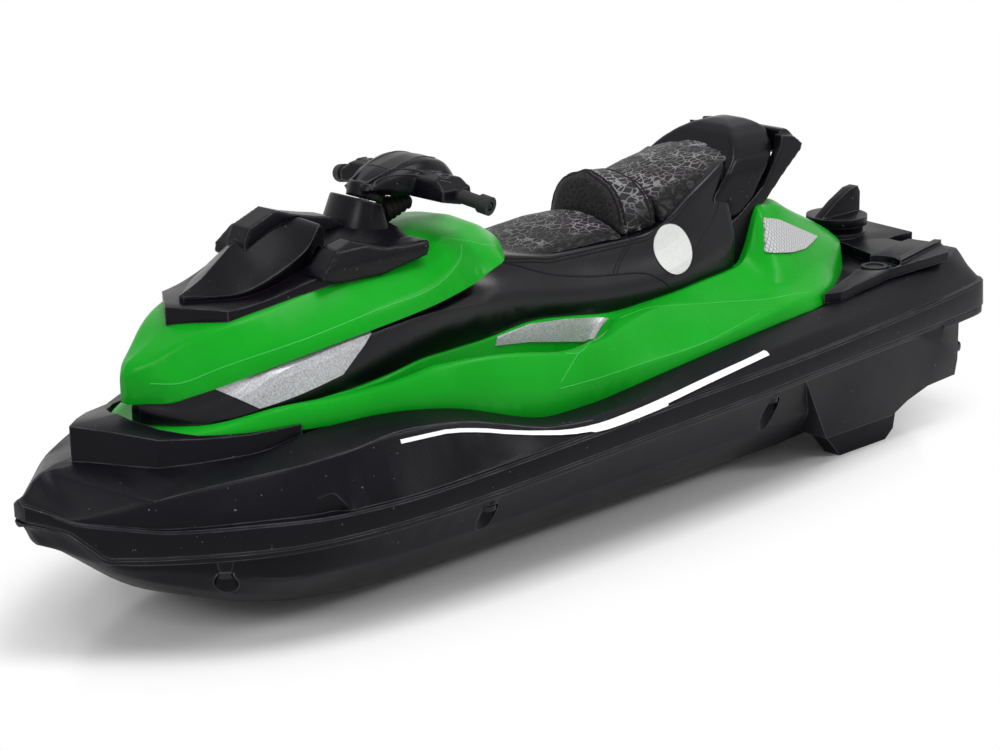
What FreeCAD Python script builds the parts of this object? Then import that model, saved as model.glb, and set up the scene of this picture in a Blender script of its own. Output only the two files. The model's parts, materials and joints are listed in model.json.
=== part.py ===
import FreeCAD, Part
import math
import os

import Sketcher

from FreeCAD import Placement, Rotation, Vector

# A toy jet ski with remote control. +X is the bow, +Y is port, +Z is up, and the origin is under
# the middle of the craft, on the surface that it stands on. Lengths are millimetres.
# The moulded shells are drawn as a boat builder draws them: lines that run from bow to stern, each
# given by a few points (station, half breadth, height), where a station is measured aft of the bow.

doc = FreeCAD.newDocument("jet_ski")
os.makedirs("parts", exist_ok=True)

# ---------------------------------------------------------------- driving dimensions
SIZES = [
    ("craft_length", 345.0), ("craft_beam", 120.0), ("craft_height", 114.0),
    ("hull_wall", 1.6), ("deck_wall", 1.6), ("cover_wall", 1.5),
    ("gasket_thickness", 0.8), ("gasket_width", 2.2), ("fit_gap", 0.25), ("running_gap", 0.05),
    ("film_gap", 0.06),
    ("decal_thickness", 0.3), ("badge_radius", 7.4), ("stripe_width", 1.0),
    ("motor_radius", 10.0), ("motor_width", 15.4), ("motor_length", 25.0), ("motor_boss_radius", 3.0),
    ("motor_boss_length", 2.0), ("mount_thickness", 2.4),
    ("shaft_radius", 1.0), ("tube_radius", 2.6), ("coupling_radius", 4.0),
    ("coupling_length", 10.0), ("shaft_length", 80.0), ("tube_length", 46.0),
    ("propeller_radius", 7.6), ("propeller_hub_radius", 2.6), ("propeller_hub_length", 8.0),
    ("blade_thickness", 0.9), ("duct_radius", 8.8), ("duct_wall", 0.8), ("duct_length", 7.0),
    ("battery_length", 49.0), ("battery_thickness", 16.0), ("battery_height", 28.0), 
    ("tray_wall", 1.4), ("tray_lift", 5.4),
    ("board_length", 46.0), ("board_width", 28.0), ("board_thickness", 1.6), ("post_radius", 2.6),
    ("hatch_thickness", 3.2), ("seal_thickness", 0.6), ("knob_radius", 10.4),
    ("knob_height", 3.0), ("knob_foot_height", 2.4), ("fin_height", 8.7), ("stem_length", 9.5),
    ("knob_stem_radius", 3.6), ("fin_thickness", 3.6), ("tongue_length", 9.0), ("tongue_width", 4.0),
    ("button_radius", 4.4), ("button_travel", 1.5), ("button_height", 7.3), ("switch_size", 13.0),
    ("bar_radius", 1.2), ("grip_radius", 2.0), ("grip_length", 9.8), ("grip_cap_radius", 2.7),
    ("boot_radius", 3.8), ("pivot_radius", 1.5), ("screw_radius", 1.5), ("screw_head_radius", 2.6),
    ("screw_length", 13.0), ("pin_radius", 1.5),
]
sheet = doc.addObject("Spreadsheet::Sheet", "Sizes")
for row, (name, value) in enumerate(SIZES, start=1):
    sheet.set("A%d" % row, name)
    sheet.set("B%d" % row, str(value))
    sheet.setAlias("B%d" % row, name)
doc.recompute()
size = {name: float(sheet.get(name)) for name, value in SIZES}

# The lines below are drawn for a craft of these sizes, and stretch with the sheet's values.
DRAWN_LENGTH = 345.0
DRAWN_HALF_BEAM = 60.0
DRAWN_HEIGHT = 114.0


def along(station):
    return size["craft_length"] * (0.5 - station / DRAWN_LENGTH)


def across(breadth):
    return size["craft_beam"] / 2 * breadth / DRAWN_HALF_BEAM


def up(height):
    return size["craft_height"] * height / DRAWN_HEIGHT


def smooth(points):
    """A value at any station, through the points, by monotone cubics that never overshoot."""
    steps = [(b[0] - a[0], (b[1] - a[1]) / (b[0] - a[0])) for a, b in zip(points, points[1:])]
    slopes = [steps[0][1]]
    for (width_a, rise_a), (width_b, rise_b) in zip(steps, steps[1:]):
        turning = rise_a * rise_b <= 0
        weight_a = 2 * width_b + width_a
        weight_b = width_b + 2 * width_a
        mean = 0.0 if turning else (weight_a + weight_b) / (weight_a / rise_a + weight_b / rise_b)
        slopes.append(mean)
    slopes.append(steps[-1][1])

    def value(station):
        station = min(max(station, points[0][0]), points[-1][0])
        i = 0
        while i < len(steps) - 1 and station > points[i + 1][0]:
            i += 1
        width = steps[i][0]
        t = (station - points[i][0]) / width
        return ((1 + 2 * t) * (1 - t) ** 2 * points[i][1] + t * (1 - t) ** 2 * width * slopes[i]
                + t * t * (3 - 2 * t) * points[i + 1][1] + t * t * (t - 1) * width * slopes[i + 1])

    return value


def line(*points):
    """A line along the craft: its half breadth and height at any station."""
    breadth = smooth([(s, y) for s, y, z in points])
    height = smooth([(s, z) for s, y, z in points])
    return lambda station: (breadth(station), height(station))


# ---------------------------------------------------------------- solids from cross-sections
def softened(corners, cuts):
    """A half section whose corners are rounded: cuts gives how far each rounding reaches."""
    result = []
    for i, (corner, cut) in enumerate(zip(corners, cuts)):
        if cut == 0 or i in (0, len(corners) - 1):
            result.append(corner)
            continue
        arms = []
        for other in (corners[i - 1], corners[i + 1]):
            arm = Vector(other[0] - corner[0], other[1] - corner[1], 0)
            arm.multiply(min(cut, 0.4 * arm.Length) / arm.Length)
            arms.append(arm)
        middle = ((corner[0] + (arms[0].x + arms[1].x) / 4), (corner[1] + (arms[0].y + arms[1].y) / 4))
        result.append((corner[0] + arms[0].x, corner[1] + arms[0].y))
        result.append(middle)
        result.append((corner[0] + arms[1].x, corner[1] + arms[1].y))
    return result


def inset(corners, wall):
    """A half section moved inwards by the wall, its ends still on the middle plane or open side."""
    moved = []
    normals = []
    for a, b in zip(corners, corners[1:]):
        edge = Vector(b[0] - a[0], b[1] - a[1], 0)
        edge.normalize()
        normals.append(Vector(-edge.y, edge.x, 0))
    for i, (y, z) in enumerate(corners):
        before = normals[max(i - 1, 0)]
        after = normals[min(i, len(normals) - 1)]
        if i == 0 and abs(y) < 1e-9:
            before = Vector(-after.x, after.y, 0)
        if i == len(corners) - 1 and abs(y) < 1e-9:
            after = Vector(-before.x, before.y, 0)
        both = before + after
        reach = 2 * wall / max(both.dot(both), 1.0)
        moved.append((y + both.x * reach, z + both.y * reach))
    return moved


def whole(half):
    """The closed section: the port half, from middle to middle, and its mirror image."""
    tail = [(-y, z) for y, z in reversed(half)]
    if abs(half[0][0]) < 1e-6:
        tail = tail[:-1]
    if abs(half[-1][0]) < 1e-6:
        tail = tail[1:]
    return half + tail


def skin(stations, section):
    """A closed solid over the sections at the stations, creased along each corner's line."""
    rings = []
    for station in stations:
        corners = section(station)
        rings.append([Vector(along(station), across(y), up(z)) for y, z in corners])
    rails = []
    for i in range(len(rings[0])):
        rail = Part.BSplineCurve()
        rail.interpolate(Points=[ring[i] for ring in rings], Parameters=[float(s) for s in stations])
        rails.append(rail.toShape())
    faces = [Part.makeRuledSurface(a, b) for a, b in zip(rails, rails[1:] + rails[:1])]
    for ring in (rings[0], rings[-1]):
        faces.append(Part.Face(Part.makePolygon(ring + ring[:1])))
    shell = Part.makeShell(faces)
    shell.sewShape()
    solid = Part.Solid(shell)
    if solid.Volume < 0:
        solid.reverse()
    return solid


def outline(points, height):
    """A closed wire in plan, from (station, breadth) points and a rule for its height."""
    corners = [Vector(along(s), across(y), up(height(s))) for s, y in points]
    return Part.makePolygon(corners + corners[:1])


def slab(points, low, high):
    """An upright block on a plan outline, between two heights that may slope along the craft."""
    solid = Part.makeLoft([outline(points, low), outline(points, high)], True, True)
    if solid.Volume < 0:
        solid.reverse()
    return solid


def plate(profile, inner, outer):
    """A block with a side profile of (station, height) points, between two half breadths."""
    corners = [Vector(along(s), across(inner), up(z)) for s, z in profile]
    face = Part.Face(Part.makePolygon(corners + corners[:1]))
    return face.extrude(Vector(0, across(outer) - across(inner), 0))


def front_block(profile, first, last):
    """A block with a front profile of (breadth, height) points, from one station to another."""
    corners = [Vector(along(first), across(y), up(z)) for y, z in profile]
    face = Part.Face(Part.makePolygon(corners + corners[:1]))
    return face.extrude(Vector(along(last) - along(first), 0, 0))


def mirrored(shape):
    return shape.mirror(Vector(0, 0, 0), Vector(0, 1, 0))


def symmetric(points):
    """A plan outline from its port half, which starts and ends on the middle plane."""
    return points + [(s, -y) for s, y in reversed(points) if y > 0]


def level(height):
    return lambda station: height


def spaced(first, last, count, extra=()):
    """Evenly spaced stations, with extra ones where a line turns quickly."""
    even = [first + (last - first) * i / (count - 1) for i in range(count)]
    kept = [s for s in even if all(abs(s - e) > 1.6 for e in extra) or s in (first, last)]
    return sorted(set(kept + [e for e in extra if first < e < last]))


def add_node(label, shape, place=None):
    node = doc.addObject("Part::Feature", label)
    node.Label = label
    node.Shape = shape
    if place is not None:
        node.Placement = place
    return node


# ---------------------------------------------------------------- lines of the hull and the deck
half_beam = smooth([(0, 0.4), (3, 4.6), (6, 8.8), (9, 13.0), (13, 17.4), (20, 24.8), (28, 32.4),
                    (36, 38.8), (46, 45.2), (60, 51.2), (85, 56), (110, 58.2), (140, 59.5), (170, 60),
                    (230, 60), (265, 58.8), (290, 57), (315, 54.8), (330, 53.2), (338, 52), (342, 50.6),
                    (344.2, 48.4), (345, 46)])
seam = smooth([(0, 38.2), (8.6, 35.6), (9.5, 34.5), (11.8, 32.0), (15.5, 28.6), (22.4, 28.7),
               (32, 29.1), (58, 29.4), (85, 30.0), (115, 31.2), (150, 33.0), (190, 34.6), (216, 35.4),
               (240, 36.6), (290, 37.5), (345, 37.6)])
band_top = smooth([(0, 43.4), (5.8, 40.9), (9.9, 38.7), (17.7, 37.6), (26.8, 36.5), (45, 36.9),
                   (65, 36.3), (85, 36.4), (110, 37.6), (135, 39.0), (160, 40.2), (200, 41.7),
                   (240, 43.0), (275, 44.4), (310, 45.4), (345, 46.8)])
keel = smooth([(0, 36.9), (3.1, 35.9), (5.2, 31.2), (10, 28.6), (15.5, 25.0), (20, 21.2), (27, 15.6),
               (35, 10.4), (50, 4.4), (70, 0.9), (90, 0), (235, 0), (270, 1.6), (318, 7.0)])
low_chine = line((0, 0.1, 37.0), (3.1, 0.9, 36.0), (5.2, 2.0, 31.6), (10, 5.5, 28.9), (15.5, 8.6, 25.1),
                 (20, 11.7, 21.6), (35, 20.2, 14.2), (50, 27.6, 9.8), (70, 31.5, 6.2), (100, 33, 4.3),
                 (235, 33, 4.3), (270, 33, 5.4), (318, 33, 10.0))
high_chine = line((0, 0.2, 37.1), (3.1, 1.9, 36.15), (6, 4.3, 32.8), (10, 8.4, 29.6), (15.5, 12.6, 25.6),
                  (20, 17.0, 22.8), (35, 27.6, 17.6), (50, 34.4, 13.4), (70, 36.4, 9.6), (100, 37, 7.6),
                  (235, 37, 7.6), (318, 37, 12.0))
knuckle = line((0, 0.3, 37.2), (3.1, 2.7, 36.3), (6, 5.6, 34.0), (10, 10.2, 31.0), (15.5, 15.4, 26.2),
               (20, 21.2, 25.2), (28, 28, 24.7), (35, 33.8, 23.6), (50, 43.2, 20.6), (70, 46.6, 18.8),
               (100, 48, 18), (230, 48, 18.8), (318, 48, 21.0))
panel_top = line((0, 0.15, 43.85), (1.5, 1.0, 43.3), (5.8, 6.3, 41.4), (9.8, 12.3, 39.5), (14.6, 16.9, 40.5),
                 (25.6, 25.8, 43.7), (40.7, 33.9, 46.4), (59.9, 42.7, 49.0), (73, 47.2, 51.0),
                 (89, 49.3, 52.8), (101, 50.5, 52.6), (112, 51.1, 50.8), (124, 51.7, 47.4), (133, 52.1, 44.9),
                 (142, 52.5, 43.4), (156, 53, 42.5), (170, 53.4, 42.8), (200, 54, 44.0), (229, 54, 46.2),
                 (260, 52.5, 47.4), (290, 50.5, 47.9), (315, 48.4, 48.5), (335, 45.6, 49.4),
                 (342, 43.2, 49.9), (345, 41, 50.2))
strip_top = line((0, 0.1, 43.9), (1.5, 0.5, 43.9), (9.2, 0.7, 49.3), (14.7, 8.6, 47.6), (20, 17, 45.7),
                 (25.6, 24.5, 44.3), (34, 24.6, 46.6), (45, 27.6, 48.4), (58, 31.5, 50.6), (69, 33.6, 54.0),
                 (90, 37.6, 55.2), (109, 41, 53.4), (123, 42.4, 49.7), (136, 43, 45.1), (150, 43.4, 42.3),
                 (162, 43.5, 42.3), (185, 43.5, 44.2), (210, 43.5, 46.7), (242, 43.5, 49.4),
                 (260, 43.6, 50.6), (290, 43.6, 51.4), (315, 43.4, 52.2), (335, 42.0, 53.0), (345, 38, 53.6))
plateau = line((0, 0.05, 43.95), (1.5, 0.25, 44.05), (9.2, 0.35, 49.5), (14, 2.0, 50.0), (18.6, 3.0, 50.2),
               (25.7, 8.7, 49.5), (33.9, 17.0, 48.6), (45, 22, 48.9), (55, 26, 49.2), (69, 28, 49.2),
               (90, 33, 46.6), (109, 36, 44.4), (123, 37.5, 43.2), (136, 38, 42.0), (150, 38, 41.2),
               (162, 38, 41.2), (185, 38, 41.6), (210, 38, 42.6), (242, 38.5, 45.6), (260, 40.4, 48.6),
               (275, 41.8, 50.2), (330, 41.8, 53.83), (345, 36.6, 54.82))
BOW_STATIONS = (3, 5.2, 7, 9, 10.5, 12, 14.5, 17, 20, 25.6, 31, 36)
STERN_STATIONS = (330, 335, 338.5, 341, 343, 344.3)
SCALLOP_END = 68.0


def hull_half(station):
    edge = half_beam(station)
    rim = seam(station)
    nose = min(1.0, station / 30.0)
    return [(0, keel(station)), low_chine(station), high_chine(station), knuckle(station),
            (edge - 0.3 - 4.6 * nose, rim - 0.5 - 2.2 * nose), (edge - 0.1 - 1.1 * nose, rim - 0.3 - 1.4 * nose),
            (edge - 0.1 - 0.4 * nose, rim)]


def scallop(station):
    """How far the side panel stands clear of the band, in a recess that ends abruptly."""
    opening = min(max((station - 8.0) / 56.0, 0.0), 1.0)
    closing = min(max((SCALLOP_END + 2.0 - station) / 4.0, 0.0), 1.0)
    return opening * closing


def deck_half(station):
    """From the seam up over the band, the side panel and the sloping strip to the middle."""
    edge = half_beam(station)
    top = band_top(station)
    nose = min(1.0, station / 30.0)
    gap = scallop(station)
    panel_y, panel_z = panel_top(station)
    root_y = edge - 0.7 - 1.6 * nose
    rise = 0.15 + 0.25 * nose + 4.6 * gap
    lean = (root_y - panel_y) * rise / max(panel_z - top, rise)
    flat_y, flat_z = plateau(station)
    return [(edge, seam(station) + size["gasket_thickness"]), (edge - 0.4 * nose, top - 0.6),
            (edge - 0.4 - 0.6 * nose, top), (root_y - 2.2 * gap, top + 0.05),
            (root_y - 0.1 - 0.8 * lean, top + rise), (panel_y, panel_z), strip_top(station),
            (flat_y, flat_z), (0, flat_z)]


def deck_room_half(station):
    """The room under the deck, one wall inside its skin, and open below the seam."""
    wall = size["deck_wall"] / 1.6
    edge = half_beam(station)
    panel_y, panel_z = panel_top(station)
    strip_y, strip_z = strip_top(station)
    flat_y, flat_z = plateau(station)
    return [(edge - 2.3 * wall - 2.0 * scallop(station), seam(station) - 4),
            (edge - 4.0 * wall - 2.2 * scallop(station), band_top(station) - 0.9 * wall),
            (panel_y - 1.9 * wall, panel_z - 1.0 * wall), (strip_y - 0.8 * wall, strip_z - 1.7 * wall),
            (flat_y - 0.4 * wall, flat_z - 1.7 * wall), (0, flat_z - 1.7 * wall)]


HULL_CUTS = (0, 1.2, 1.2, 1.2, 0, 0, 0)
DECK_CUTS = (0, 0, 0, 0, 0, 1.0, 1.0, 0, 0)


def hull_solid(wall, top, first=1.0, last=318.0):
    """The hull's body up to the seam, or the room inside it, open past the seam."""
    def section(station):
        half = hull_half(station)
        if wall == 0:
            return whole(softened(half, HULL_CUTS))
        half = inset(half, wall)
        return whole(half[:-1] + [(half[-1][0] - wall * 0.3, seam(station) + top)])
    return skin(spaced(first, last, 15, BOW_STATIONS), section)




def cover(first, last, count, extra, section, cuts, wall=None, ends=(0.0, 0.0)):
    """A moulded cover, open underneath: its skin as a solid, and the wall that is left of it."""
    outer = skin(spaced(first, last, count, extra), lambda s: whole(softened(section(s), cuts)))
    if wall is None:
        return outer, outer

    def room(station):
        half = inset(section(station), wall)
        below = (half[0][0], section(station)[0][1] - 3.0)
        return whole([below] + half)

    inner = skin(spaced(first + wall + ends[0], last - wall - ends[1], count, extra), room)
    return outer, outer.cut(inner)


def post(station, breadth, radius, low, high):
    """An upright round post."""
    foot = Vector(along(station), across(breadth), up(low))
    return Part.makeCylinder(radius, up(high) - up(low), foot)


def upright(radius, low, high, x, y):
    return Part.makeCylinder(radius, high - low, Vector(x, y, low))


def disc_across(station, breadth, height, radius, length):
    return Part.makeCylinder(radius, length, Vector(along(station), across(breadth), up(height)), Vector(0, 1, 0))


def disc_along(station, breadth, height, radius, length):
    """A round piece whose line runs forward from a station."""
    return Part.makeCylinder(radius, length, Vector(along(station), across(breadth), up(height)), Vector(1, 0, 0))


# ---------------------------------------------------------------- hull
SCREWS = [(40.5, 34.5), (118, 50.0), (234, 51.0)]
SHAFT_Y = 38.4
SHAFT_Z = 26.6
BOARD_LEVEL = 12.0
CONTACTS = (205.0, 9.0)
POD_PROFILE = [(245, 36.5), (262, 10), (295, 10), (302, 13.6), (312, 16.6), (326, 17.4), (326, 36.5)]
POD_ROOM_PROFILE = [(244, 38.5), (246.5, 36.5), (263, 11.8), (295, 11.8), (302, 15.4), (312, 18.4),
                    (324, 19.2), (324, 38.5)]
STERN_BOX = [(312, 8.0), (333, 10.0), (339.4, 15.0), (341.4, 23.0), (341.4, 37.0), (312, 37.0)]
STERN_BOX_ROOM = [(310, 12.0), (332.4, 12.0), (338.2, 17.0), (339.8, 23.4), (339.8, 42.0), (310, 42.0)]


def pod(profile, inner, outer, margin):
    """A side pod: a side profile, cut to an outboard face that leans out towards the top."""
    wedge = front_block([(inner, 6), (outer - 0.8, 6), (outer + 4.7, 40), (inner, 40)], 200, 340)
    stations = spaced(236, 328, 8)
    plan = [(s, half_beam(s) - margin) for s in stations] + [(328, 0), (236, 0)]
    return plate(profile, inner, 60).common(wedge).common(slab(plan, level(4), level(40)))


def both(shapes):
    return shapes + [mirrored(shape) for shape in shapes]


hull_skin = hull_solid(0, 0)
shelf = skin(spaced(316.5, 345, 5, STERN_STATIONS),
             lambda s: whole([(0, seam(s) - 2), (half_beam(s) - 0.5, seam(s) - 2),
                              (half_beam(s) - 0.5, seam(s)), (0, seam(s))]))
skeg = plate([(264, 12), (272, 3.4), (275, 0), (298, 0), (302, 3), (304, 13)], 39.2, 45.6)
bosses = []
columns = []
pockets = []
for station, breadth in SCREWS:
    rim = seam(station)
    bosses.append(post(station, breadth, 4.3, 4, rim - 1.0).common(hull_skin))
    columns.append(post(station, breadth, 3.0, rim - 5.5, rim + 2.0))
    pockets.append(post(station, breadth, 3.2, -1, rim - 6.0))
    pockets.append(post(station, breadth, size["screw_radius"] + 0.2, -1, rim + 5.0))
hull_shell = hull_skin.fuse(both([pod(POD_PROFILE, 30, 50.8, 0.9), skeg])
                            + [shelf, plate(STERN_BOX, -28, 28)])
hull_rooms = both([pod(POD_ROOM_PROFILE, 34, 49.2, 2.5)]) + [plate(STERN_BOX_ROOM, -26.4, 26.4)]
hull_room = hull_solid(size["hull_wall"], 3, 20, 318 - 1.6)
hull_shell = hull_shell.cut([hull_room] + hull_rooms)
board_posts = [post(173 + step, 10, size["post_radius"], 2.2, BOARD_LEVEL) for step in (-19, 19)]
passages = [disc_along(330, SHAFT_Y, SHAFT_Z, size["tube_radius"], 12),
            upright(size["pin_radius"], -1, up(4), along(CONTACTS[0]), across(CONTACTS[1]))]
ground = Part.makeBox(size["craft_length"] + 20, size["craft_beam"] + 20, 20,
                      Vector(-size["craft_length"] / 2 - 10, -size["craft_beam"] / 2 - 10, -20))
hull_shell = hull_shell.fuse(both(bosses + columns + board_posts)).cut(both(pockets + passages) + [ground])
add_node("hull_shell", hull_shell)

# ---------------------------------------------------------------- gasket in the seam
thick = size["gasket_thickness"]


def gasket_half(station, margin, low, high):
    edge = half_beam(station) - margin
    return whole([(0, seam(station) + low), (edge, seam(station) + low),
                  (edge, seam(station) + high), (0, seam(station) + high)])


gasket = skin(spaced(2, 343.4, 16, BOW_STATIONS + STERN_STATIONS[:-1]),
              lambda s: gasket_half(s, 0.6, 2 * size["film_gap"], thick - 2 * size["film_gap"]))
gasket_room = skin(spaced(7, 341, 16, BOW_STATIONS[3:] + STERN_STATIONS[:-2]),
                   lambda s: gasket_half(s, 0.6 + size["gasket_width"], -3, 3))
add_node("hull_gasket", gasket.cut(gasket_room))

# ---------------------------------------------------------------- deck
HATCH_FLOOR = 50.2
COAMING = [(18.1, 0), (25.6, 8.3), (33.9, 17.0), (43.5, 21.8), (55.7, 27.1), (69, 32.3)]
COAMING_INSIDE = [(69, 30.6), (55.7, 25.4), (44.4, 19.8), (37.4, 12.4), (34.0, 5.4), (33, 0)]


def deck_plane(station):
    return HATCH_FLOOR + 0.066 * (station - 275)


COAMING_FRONT = [(0, 46), (0, 59.9), (8.3, 58.4), (17, 56.2), (22, 55.3), (27, 54.9), (33, 56), (33, 46)]
coaming = slab(symmetric(COAMING + COAMING_INSIDE), level(46), level(62))
coaming = coaming.common(front_block(whole(COAMING_FRONT), 16, 70))
deck_skin = skin(spaced(1.5, 344.6, 34, BOW_STATIONS + (66, 68, 70) + STERN_STATIONS),
                 lambda s: whole(softened(deck_half(s), DECK_CUTS)))
deck_room = skin(spaced(17, 342.4, 30, BOW_STATIONS[8:] + (66, 68, 70) + STERN_STATIONS),
                 lambda s: whole(deck_room_half(s)))
deck_solid = deck_skin.fuse(coaming)

# ---------------------------------------------------------------- fairing round the seat, with the tail
fairing_foot = line((31, 7.5, 51.6), (36, 12.4, 52.6), (43, 18, 53.4), (49, 21.8, 53.8), (56.7, 25.6, 54.4),
                    (69, 31.8, 55.9), (90, 38, 56), (109, 41.5, 54.2), (123, 43, 50.5),
                     (136, 43.5, 45.8), (150, 44, 42.9),
                    (160, 44, 42.9), (185, 44, 45), (210, 44, 47.5), (242, 43.6, 50.3), (260, 43, 52),
                    (272, 40.4, 52.0), (286, 33.6, 51), (294, 28, 49.9), (303, 22, 50.6), (310, 17, 51.8),
                    (316, 9, 52.4))
fairing_bead = line((31, 7.3, 53.6), (36, 12.2, 54.2), (43, 17.8, 54.9), (56.7, 25.3, 56.2), (69, 31.6, 57.6),
                    (90, 37.7, 58.2),
                    (109, 41.2, 57), (123, 42.8, 54.5), (136, 43.4, 51.2), (150, 43.8, 49), (165, 43.8, 48.6),
                    (185, 43.6, 48.8), (210, 43.4, 50), (242, 42.8, 52.9), (258, 41.6, 54.8),
                    (272, 38.6, 54.9), (286, 32.6, 54), (294, 27.4, 53.4), (303, 21.6, 54.2),
                    (310, 16.6, 55), (316, 8.6, 55))
fairing_crease = line((31, 6.6, 55.2), (40, 13.6, 55.9), (48, 18.4, 56.3), (56, 23.4, 58.0),
                      (66, 28.8, 60.1), (80, 34, 60.9),
                      (101, 38.3, 62.7), (112, 39.5, 64.3), (123, 40.8, 64.2), (141, 41.8, 61.9),
                      (160, 41.6, 58.8), (175, 39.6, 58.7), (190, 35.4, 60.2), (205, 32.2, 60.7),
                      (225, 31.2, 58.6), (245, 32, 56.8), (262, 33.4, 57.2), (275, 30.4, 58.6),
                      (290, 25.4, 60.0), (303, 20.0, 60.4), (311, 14.8, 60.0), (316, 8.0, 58.6))
fairing_rim = line((31, 5.2, 55.6), (40, 11.6, 56.1), (48, 16.4, 56.4), (56, 21.4, 58.1), (66, 26.6, 60.3),
                   (80, 31, 60.9), (101, 35, 62.5),
                   (112, 36.5, 64.1), (123, 38, 64.0), (141, 39, 61.7), (160, 38.4, 58.4), (175, 35.4, 58.3),
                   (190, 30, 60.2), (206, 26.4, 60.7), (221, 25.6, 61.5), (234, 25, 62.5), (248, 24, 63.5),
                   (254, 23, 66), (262, 21.5, 79.6), (270, 20, 79.4), (283, 17.5, 74.4), (295, 14.6, 69.2),
                   (305, 11.6, 64.9), (312, 8.6, 62.0), (316, 5.4, 60.4))
tail_ridge = smooth([(252, 63.0), (262, 80.6), (270, 80.8), (283, 75.6), (295, 70.2), (305, 65.7),
                     (312, 62.6), (316, 61.0)])
body_foot = line((38.6, 1.6, 56), (42, 6.8, 56.1), (47.7, 13.8, 56.4), (54, 19.4, 57), (62, 24.4, 58.4),
                 (75, 28.5, 60), (90, 29.5, 61),
                 (101, 29.5, 62), (115, 28, 63.4), (128, 26, 63), (140, 24.6, 62.8), (150, 24, 63.4),
                 (160, 24, 64.4), (175, 24, 62.8), (196, 24, 60.3), (206, 24, 60.6), (221, 24, 61.4),
                 (234, 23.4, 62.4), (248, 22, 63.0), (254, 20, 63.2))
TROUGH = smooth([(92, 0), (102, 1), (115, 1), (178, 1), (192, 0), (200, 0)])
trough_floor = smooth([(92, 60), (105, 52), (116, 48), (165, 48), (178, 51), (192, 58), (200, 60)])


def fairing_half(station):
    """Foot, bead and shoulder outside, then the footwell, then the bed under the middle body."""
    rim_y, rim_z = fairing_rim(station)
    bed_y, bed_z = body_foot(station)
    bed_y = bed_y + 0.6
    tail = min(max((station - 252) / 10.0, 0.0), 1.0)
    nose = min(max((station - 24) / 16.0, 0.0), 1.0)
    bed_z = min(bed_z - 0.25, rim_z + 6)
    if nose < 1:
        bed_y = rim_y - 3 + nose * (bed_y - rim_y + 3)
        bed_z = rim_z + 0.4 + nose * (bed_z - rim_z - 0.4)
    bed_y = bed_y + tail * (rim_y - 3.4 - bed_y)
    bed_z = bed_z + tail * (tail_ridge(station) - bed_z)
    bed_y = min(bed_y, rim_y - 1.0)
    deep = TROUGH(station)
    level_y = rim_y - 0.3 * (rim_y - bed_y)
    level_z = rim_z - 0.3 * (rim_z - bed_z)
    outer = (level_y + deep * (rim_y - 1.6 - level_y), level_z + deep * (trough_floor(station) - level_z))
    inner = (bed_y + 0.25 * (rim_y - bed_y) * (1 - deep) + 0.8 * deep,
             bed_z + (1 - deep) * 0.25 * (rim_z - bed_z) + deep * (trough_floor(station) - bed_z))
    foot_y, foot_z = fairing_foot(station)
    return [(foot_y, foot_z - 1.8), fairing_bead(station), fairing_crease(station), (rim_y, rim_z),
            outer, inner, (bed_y, bed_z), (0, bed_z if tail == 0 else tail_ridge(station))]


def mix(a, b, share):
    return (a[0] + share * (b[0] - a[0]), a[1] + share * (b[1] - a[1]))


def fairing_room_half(station):
    wall = size["cover_wall"]
    foot, bead, crease, rim, outer, inner, bed, middle = fairing_half(station)
    deep = TROUGH(station)
    floor = trough_floor(station) - wall
    side = (bead[0] - 1.3 * wall, bead[1] + deep * (floor - 0.5 - bead[1]))
    shoulder = mix((crease[0] - 1.5 * wall, crease[1] - wall), (rim[0] - 2.4 * wall, floor), deep)
    top = mix((rim[0] - 0.8 * wall, rim[1] - 1.2 * wall), (bed[0] - 0.1 * wall, floor), deep)
    return [(foot[0] - 1.4 * wall, foot[1] - 4), side, shoulder, top,
            (bed[0] - 0.9 * wall, bed[1] - 1.1 * wall), (0, middle[1] - 1.1 * wall)]


FAIRING_CUTS = (0, 1.0, 1.2, 1.4, 1.0, 1.0, 0.8, 0)
FAIRING_STATIONS = (100, 107, 114, 174, 181, 188, 246, 250, 253, 256, 259, 262, 266, 270)
fairing_skin = skin(spaced(31, 315.6, 26, FAIRING_STATIONS),
                    lambda s: whole(softened(fairing_half(s), FAIRING_CUTS)))
fairing_room = skin(spaced(40, 313, 24, FAIRING_STATIONS), lambda s: whole(fairing_room_half(s)))
deck_fairing = fairing_skin.cut([fairing_room, deck_solid])
add_node("deck_fairing", deck_fairing)

# ---------------------------------------------------------------- bonnet
bonnet_foot = line((34.9, 0.9, 62.1), (39.3, 6.2, 62.5), (42.8, 10.4, 62.8), (46.9, 13.7, 64.2),
                   (52.6, 18, 66.3), (60.2, 22.4, 68.9), (70.3, 26.7, 71.8), (81.8, 29.4, 74.1),
                   (98, 31, 76.3), (117, 30, 78), (134, 28, 80.5), (147, 26, 84), (156, 17, 84.6),
                   (163, 8, 84.0), (166, 3, 83.6))
bonnet_crease = line((34.9, 0.8, 68.2), (39.4, 6.6, 68.1), (42.3, 10.3, 68.1), (46.1, 12.9, 68.3),
                     (53.6, 17.9, 71.5), (60.8, 22.1, 73.7), (71, 26.1, 76.2), (82.9, 28.4, 78.4),
                     (99, 30, 81.2), (116, 29, 83), (127, 26.6, 86), (133, 24.6, 89), (140, 22.4, 90.6),
                     (147, 19.4, 90.2), (156, 13, 88), (163, 6.6, 85.8), (166, 2.6, 84.8))
bonnet_edge = line((34.9, 0.5, 68.9), (36.9, 3.0, 71.4), (42.3, 6.5, 74.8), (50, 11.5, 79.2), (59, 16, 82),
                   (70, 18.5, 84.4),
                   (84, 21, 87.4), (93, 22.2, 88.6), (105, 22.2, 88.8), (122, 20.2, 90.6), (134, 17, 93),
                   (147, 12.6, 93.2), (156, 8, 90.4), (162, 4, 87.4), (166, 1.4, 85.6))
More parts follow.
